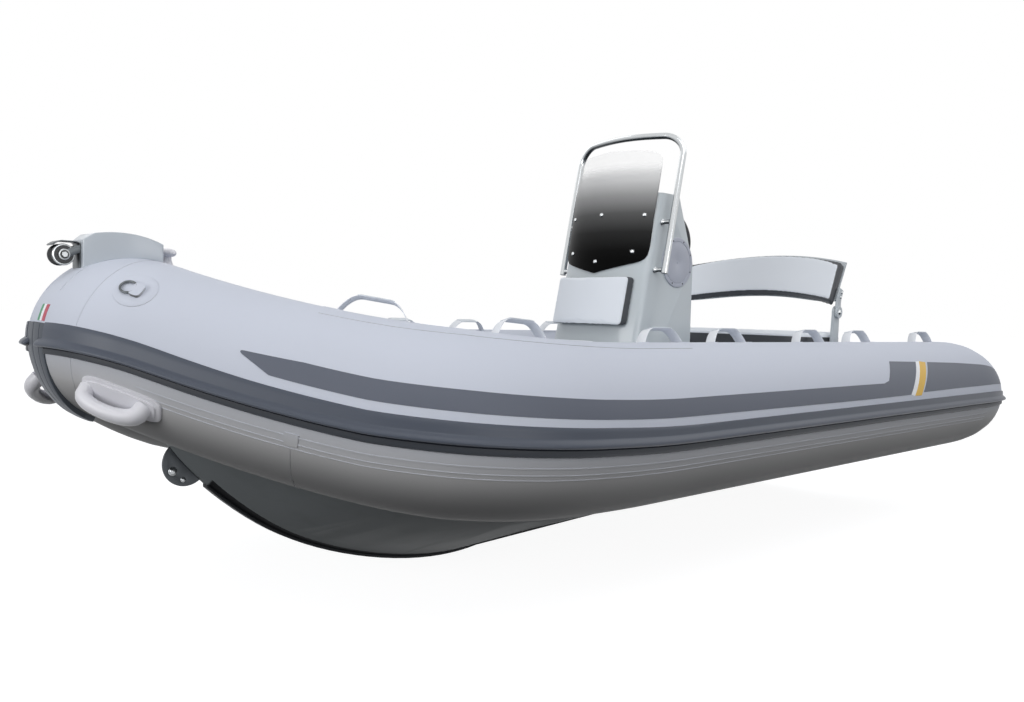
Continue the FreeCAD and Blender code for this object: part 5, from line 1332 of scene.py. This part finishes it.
class BOAT_OT_backrest(BoatPiece, bpy.types.Operator):
    """Moulds the backrest's shell with its arms, knuckles and bolts"""
    bl_idname = "boat.backrest"
    bl_label = "Backrest shell"
    pivot = Vector((-1.285, 0.0, 0.70))

    def build(self):
        shares = [0.0, 0.006, 0.03] + [i / 10 for i in range(1, 10)] + [0.97, 0.994, 1.0]
        breadths = [-0.460, -0.458, -0.452] + spread(-0.44, 0.44, 40) + [0.452, 0.458, 0.460]
        front, rear = -0.0452, -0.0590
        # the shell hangs lower than the pad at its middle
        hang, round_edge = 0.125, 0.0035
        grids = []
        for off in (front, rear):
            rows = []
            for share in shares:
                row = []
                for y in breadths:
                    low = hang * (1 - (y / BACK_HALF_WIDTH) ** 6)
                    eased = round_edge if share in (0.0, 1.0) or abs(y) == BACK_HALF_WIDTH else 0.0
                    near = eased if off == rear else -eased * 0.3
                    row.append(backrest_point(y, -low + share * (0.998 + low), off + near))
                rows.append(row)
            grids.append(rows)
        parts = [thick_grid(*grids)]
        path = [(-1.285, 0.700), (-1.2825, 0.725), (-1.2825, 0.745), (-1.290, 0.770), (-1.301, 0.795), (-1.307, 0.808)]
        knuckle = [(0.0, 0.0280), (0.0010, 0.0292), (0.0110, 0.0292), (0.0120, 0.0280)]

        def arm(share):
            """A flat bar that narrows from 48 mm at its knuckle to 38 mm at the shell."""
            return strap_section(0.048 - 0.010 * share, 0.0125)

        for side in (1, -1):
            parts.append(sweep([Vector((x, side * 0.4678, z)) for x, z in path], arm, start=(0.885, 0, 0.466)))
            parts.append(lathe(self.pivot + Vector((0, side * 0.464, 0)), (0, side, 0), knuckle, 48))
        piece("backrest_back", *gather(parts), "pale_moulding", "backrest", ("backrest_shell",), 35, "gelcoat")
        bolts = both_ways(0.4762, ((-1.285, 0.700, 1.5), (-1.291, 0.772, 0.8), (-1.301, 0.795, 0.8)))
        fasten("backrest_bolts", "stainless", "backrest", bolts, 0.0062, 0.0080)


class BOAT_OT_bow(BoatPiece, bpy.types.Operator):
    """Turns the anchor roller and makes its bracket, washers and seals and the cleat"""
    bl_idname = "boat.bow"
    bl_label = "Bow fittings"
    roller = Vector((2.05995, 0, 0.76804))

    def build(self):
        w, r = 0.020, 0.028
        # from its waist to its flange
        half = [
            (0.0, 0.0205), (0.007, 0.0210), (0.012, 0.0225), (0.0145, 0.0265), (0.0155, r), (0.0185, r), (w, r - 0.002),
            (w, 0.0075),
        ]
        profile = [(-a, b) for a, b in reversed(half)] + half[1:]
        piece(
            "bow_roller_skin", *lathe(self.roller, (0, 1, 0), profile, 64), "black_plastic", "bow_roller",
            ("bow_roller",), 35, "black_plastic")
        self.bracket()
        self.cleat()

    def bracket(self):
        """A foot plate on the step, a hood over the roller and two narrow arms to its pin."""
        at, r = self.roller, 0.0355
        hood = [
            (-0.0395, -0.052), (-0.0390, 0.026), (-0.0365, 0.0325), (-0.031, 0.0350), (-0.018, 0.0352),
            (-0.004, 0.0350),
        ]
        hood += [(r * math.sin(math.radians(t)), r * math.cos(math.radians(t))) for t in (8, 18, 28, 38, 48)]
        steel = [sweep([at + Vector((x, 0, z)) for x, z in hood], strap_section(0.052, 0.0032), start=(0, 1, 0))]
        arm = ((-0.040, 0.016), (-0.030, 0.014), (-0.015, 0.006), (0.0, 0.0))
        for turn in (1, -1):
            path = [at + Vector((x, turn * 0.0245, z)) for x, z in arm]
            steel.append(sweep(path, strap_section(0.020, 0.0036), start=(0.45, 0, 1)))
        piece("roller_frame", *gather(steel), "cast_stainless", "boat", ("roller_bracket",), 40, "stainless")
        # the stack on each end of the pin, from the roller out: how far it starts, profile, sides
        bright = (
            (0.0, (
                (0.0, 0.0275), (0.0016, 0.0275), (0.0030, 0.0262), (0.0032, 0.0240), (0.0020, 0.0235),
                (0.0016, 0.0185)), 48),
            (0.0060, ((0.0, 0.0142), (0.0018, 0.0142), (0.0024, 0.0130)), 36),
            (0.0088, ((0.0, 0.0078), (0.0042, 0.0078), (0.0050, 0.0068)), 6),
        )
        dark = (
            (0.0012, ((0.0, 0.0236), (0.0022, 0.0232), (0.0024, 0.0150)), 40),
            (0.0080, ((0.0, 0.0110), (0.0012, 0.0108)), 30),
        )
        for name, stack, kind, slot in (
            ("roller_washers", bright, "washer_steel", "stainless"),
            ("roller_seals", dark, "black_plastic", "black_plastic"),
        ):
            parts = []
            for turn in (1, -1):
                axis = Vector((0, turn, 0))
                parts += [lathe(at + axis * 0.0202 + axis * off, axis, profile, sides) for off, profile, sides in stack]
            piece(name, *gather(parts), kind, "boat", smooth=30, slot=slot)

    def cleat(self):
        low, high = [Vector(corner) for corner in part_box("bow_cleat")]
        x, top = (low.x + high.x) / 2, high.z
        path = [(x, -0.055 + 0.110 * share, top - 0.0125 - 0.004 * (2 * share - 1) ** 2) for share in spread(0, 1, 24)]

        def horn(share):
            """The two horns are oval and close to a blunt point."""
            away = abs(2 * share - 1)
            return disc(0.0155 * math.sqrt(max(1 - away ** 4, 0.02)), 24, 0.80)

        parts = [sweep(path, horn, start=(1, 0, 0))]
        stem = [(0.0, 0.0130), (0.004, 0.0115), (0.012, 0.0088), (0.022, 0.0080), (0.034, 0.0088)]
        for turn in (1, -1):
            parts.append(lathe((x, turn * 0.018, top - 0.046), (0, 0, 1), stem, 28))
        # the foot is a rounded oblong that narrows as it rises
        foot, sides = [], 40
        for z, scale in (
            (low.z + 0.004, 1.06), (top - 0.058, 1.04), (top - 0.052, 1.0), (top - 0.0475, 0.94), (top - 0.046, 0.85),
        ):
            ring = []
            for c, d in disc(1.0, sides):
                along, across = [math.copysign(abs(value) ** 0.5, value) * scale for value in (c, d)]
                ring.append(Vector((x + 0.012 * along, 0.028 * across, z)))
            foot.append(ring)
        points = flat(foot)
        parts.append((points, grid(foot, closed_columns=True) + caps(points, sides)))
        piece("bow_cleat_skin", *gather(parts), "soft_white_rubber", "boat", ("bow_cleat",), 40, "stainless")


class BOAT_OT_mouldings(BoatPiece, bpy.types.Operator):
    """Rounds the edges of the moulded panels and boxes"""
    bl_idname = "boat.mouldings"
    bl_label = "Mouldings"
    # node, body, finish, edge in millimetres
    rounded = (
        ("console_shell", "boat", "gelcoat", 4.0), ("front_seat_box", "boat", "gelcoat", 4.0),
        ("front_seat_lid", "front_seat_lid", "gelcoat", 3.0), ("bench_box", "boat", "gelcoat", 4.0),
        ("nose_step", "boat", "nose_moulding", 5.0), ("backrest_arms", "boat", "pale_moulding", 2.0),
        ("hull", "boat", "hull_gelcoat", 3.0), ("stem_tow_plate", "boat", "plate_steel", 1.5),
        ("keel_guard", "boat", "keel_rubber", 3.0),
    )

    def build(self):
        for node, body, kind, edge in self.rounded:
            obj = rounded_copy(node, kind, edge / 1000)
            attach(obj, body)
            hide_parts(node)


EDGE_TURN = math.radians(35)  # a sharper turn than this between two faces is an edge


def rounded_copy(node, kind, edge):
    """A copy of a frame node with its flat faces whole again and its edges rounded."""
    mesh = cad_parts[node].data.copy()
    mesh.name = node + "_skin"
    mesh.materials.clear()
    mesh.materials.append(material(kind))
    work = bmesh.new()
    work.from_mesh(mesh)
    for layer in list(work.loops.layers.uv.values()):
        work.loops.layers.uv.remove(layer)
    bmesh.ops.remove_doubles(work, verts=work.verts, dist=2e-5)
    bmesh.ops.dissolve_limit(
        work, angle_limit=math.radians(1.0), verts=work.verts, edges=work.edges, use_dissolve_boundaries=False)
    for face in work.faces:
        face.material_index = 0
    work.to_mesh(mesh)
    work.free()
    obj = bpy.data.objects.new(node + "_skin", mesh)
    bpy.context.scene.collection.objects.link(obj)
    bevel = obj.modifiers.new("edge", "BEVEL")
    bevel.width = edge
    bevel.segments = 3
    bevel.limit_method = "ANGLE"
    bevel.angle_limit = EDGE_TURN
    bevel.harden_normals = False
    bake(obj)
    obj.data.shade_smooth()
    obj.data.set_sharp_from_angle(angle=EDGE_TURN)
    return obj


def bake(obj):
    """Turns an object's modifiers into its plain mesh."""
    graph = bpy.context.evaluated_depsgraph_get()
    mesh = bpy.data.meshes.new_from_object(obj.evaluated_get(graph))
    obj.modifiers.clear()
    old = obj.data
    obj.data = mesh
    mesh.name = old.name
    bpy.data.meshes.remove(old)


class BOAT_OT_finishes(BoatPiece, bpy.types.Operator):
    """Gives each frame node that stays its finish"""
    bl_idname = "boat.finishes"
    bl_label = "Finishes of frame nodes"
    # the frame's slots are named as the finishes are, apart from this one
    renamed = {"collar_fabric": "tube_fabric"}

    def build(self):
        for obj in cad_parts.values():
            for slot in obj.material_slots:
                kind = slot.material.name.split(".")[0] if slot.material else ""
                kind = self.renamed.get(kind, kind)
                slot.material = material(kind if kind in FINISHES else "gelcoat")


def looked_at(tree):
    """1 for rays from the eye, off a mirror or through a glass, and 0 for those that bring light."""
    rays = add_node(tree, "ShaderNodeLightPath").outputs
    seen = rays["Is Camera Ray"]
    for kind in ("Is Glossy Ray", "Is Transmission Ray"):
        seen = add_node(tree, "ShaderNodeMath", None, {0: seen, 1: rays[kind]}, operation="MAXIMUM").outputs[0]
    return seen


class BOAT_OT_stage(BoatPiece, bpy.types.Operator):
    """Sets the floor at the waterline with an open well for the hull, the lights, the world and the camera"""
    bl_idname = "boat.stage"
    bl_label = "Stage"

    def build(self):
        scene = bpy.context.scene
        scene.view_settings.view_transform = "Standard"
        self.floor()
        self.world(scene)
        self.lights(scene)
        self.camera(scene)

    def floor(self):
        low = CAD_BOX[0][2] - 0.004
        well, far = (4.4, 3.2), (60.0, 60.0)
        points = [
            (x * half[0], y * half[1], z)
            for half, z in ((well, low), (well, 0.0), (far, 0.0)) for x, y in ((-1, -1), (1, -1), (1, 1), (-1, 1))]
        faces = [(0, 1, 2, 3)]
        faces += [(i, (i + 1) % 4, (i + 1) % 4 + 4, i + 4) for i in range(4)]
        faces += [(i + 4, (i + 1) % 4 + 4, (i + 1) % 4 + 8, i + 8) for i in range(4)]
        mesh = bpy.data.meshes.new("floor")
        mesh.from_pydata(points, [], faces)
        mesh.materials.append(self.floor_paint())
        obj = bpy.data.objects.new("floor", mesh)
        bpy.context.scene.collection.objects.link(obj)

    def floor_paint(self):
        """A pale floor to the eye, which throws little light back up."""
        paint = bare("studio_floor_paint")
        tree = paint.node_tree
        matt = add_node(tree, "ShaderNodeBsdfDiffuse", {"Color": linear("#161718")})
        bright = add_node(tree, "ShaderNodeBsdfDiffuse", {"Color": linear("#8A8C90")})
        glow = add_node(tree, "ShaderNodeEmission", {"Strength": 0.93})
        pale = add_node(tree, "ShaderNodeAddShader", None, {0: glow.outputs[0], 1: bright.outputs[0]})
        both = add_node(
            tree, "ShaderNodeMixShader", None, {0: looked_at(tree), 1: matt.outputs[0], 2: pale.outputs[0]})
        add_node(tree, "ShaderNodeOutputMaterial", None, {"Surface": both.outputs[0]})
        return paint

    def world(self, scene):
        world = bpy.data.worlds.new("studio")
        scene.world = world
        world.use_nodes = True
        tree = world.node_tree
        tree.nodes.clear()
        way = add_node(tree, "ShaderNodeTexCoord").outputs["Generated"]
        parts = add_node(tree, "ShaderNodeSeparateXYZ", None, {0: way})
        height = add_node(
            tree, "ShaderNodeMapRange", {"From Min": -0.10, "From Max": 0.6}, {"Value": parts.outputs["Z"]})
        sky = add_node(
            tree, "ShaderNodeMix", {6: linear("#1E1F21"), 7: linear("#F6F7F9")},
            {"Factor": height.outputs["Result"]}, data_type="RGBA")
        soft = add_node(tree, "ShaderNodeBackground", {"Strength": 0.51}, {"Color": sky.outputs[2]})
        white = add_node(tree, "ShaderNodeBackground", {"Color": (1, 1, 1, 1), "Strength": 1.0})
        both = add_node(
            tree, "ShaderNodeMixShader", None, {0: looked_at(tree), 1: soft.outputs[0], 2: white.outputs[0]})
        add_node(tree, "ShaderNodeOutputWorld", None, {"Surface": both.outputs[0]})

    def lights(self, scene):
        # name, place, width, power
        for name, place, size, power in (
            ("key", (2.5, 3.5, 5.5), 4.0, 98.0),
            ("fill", (-3.5, 2.5, 5.0), 5.0, 70.0),
            ("back", (0.0, -4.5, 4.5), 4.0, 44.0),
            ("bow", (7.0, 0.6, 1.5), 3.0, 150.0),
            ("side", (1.6, 7.0, 1.3), 3.2, 95.0),
        ):
            lamp = bpy.data.lights.new(name, "AREA")
            lamp.size = size
            lamp.energy = power
            obj = bpy.data.objects.new(name, lamp)
            obj.location = place
            way = Vector((0, 0, 0.4)) - obj.location
            obj.rotation_euler = way.to_track_quat("-Z", "Y").to_euler()
            scene.collection.objects.link(obj)

    def camera(self, scene):
        """Stands off the port bow, a little above the tube amidships, and looks nearly level across the boat."""
        yaw, pitch, roll = [math.radians(a) for a in (-134.073, -2.277, 1.5686)]
        ahead = Vector((math.cos(yaw) * math.cos(pitch), math.sin(yaw) * math.cos(pitch), math.sin(pitch)))
        right = Vector((math.sin(yaw), -math.cos(yaw), 0))
        up = right.cross(ahead)
        side = right * math.cos(roll) + up * math.sin(roll)
        top = up * math.cos(roll) - right * math.sin(roll)
        lens = bpy.data.cameras.new("camera")
        lens.sensor_fit, lens.sensor_width, lens.lens = "HORIZONTAL", 36.0, 31.793
        lens.clip_start, lens.clip_end = 0.05, 200.0
        obj = bpy.data.objects.new("camera", lens)
        turn = Matrix((side, top, -ahead)).transposed()
        obj.matrix_world = Matrix.Translation((2.84854, 2.50112, 0.64394)) @ turn.to_4x4()
        scene.collection.objects.link(obj)
        scene.camera = obj


OPERATORS = (
    BOAT_OT_finishes, BOAT_OT_collar, BOAT_OT_stripes, BOAT_OT_strake, BOAT_OT_webbing, BOAT_OT_fittings,
    BOAT_OT_console, BOAT_OT_wheel, BOAT_OT_fasteners, BOAT_OT_cushions, BOAT_OT_backrest, BOAT_OT_bow,
    BOAT_OT_mouldings, BOAT_OT_stage,
)


class BOAT_PT_panel(bpy.types.Panel):
    """Lists the boat's pieces and its sizes and colours"""
    bl_idname = "BOAT_PT_panel"
    bl_label = "Rigid inflatable boat"
    bl_space_type = "VIEW_3D"
    bl_region_type = "UI"
    bl_category = "Boat"

    def draw(self, context):
        for operator in OPERATORS:
            self.layout.operator(operator.bl_idname)
        for group in (context.scene.boat_sizes, context.scene.boat_colours):
            box = self.layout.box()
            for key in group.__annotations__:
                box.prop(group, key)


CLASSES = (BoatColours, BoatSizes) + OPERATORS + (BOAT_PT_panel,)


def register():
    for kind in CLASSES:
        bpy.utils.register_class(kind)
    bpy.types.Scene.boat_colours = PointerProperty(type=BoatColours)
    bpy.types.Scene.boat_sizes = PointerProperty(type=BoatSizes)


def unregister():
    del bpy.types.Scene.boat_sizes
    del bpy.types.Scene.boat_colours
    for kind in reversed(CLASSES):
        bpy.utils.unregister_class(kind)


def main():
    register()
    for operator in OPERATORS:
        group, name = operator.bl_idname.split(".")
        getattr(getattr(bpy.ops, group), name)()


if __name__ == "__main__":
    main()
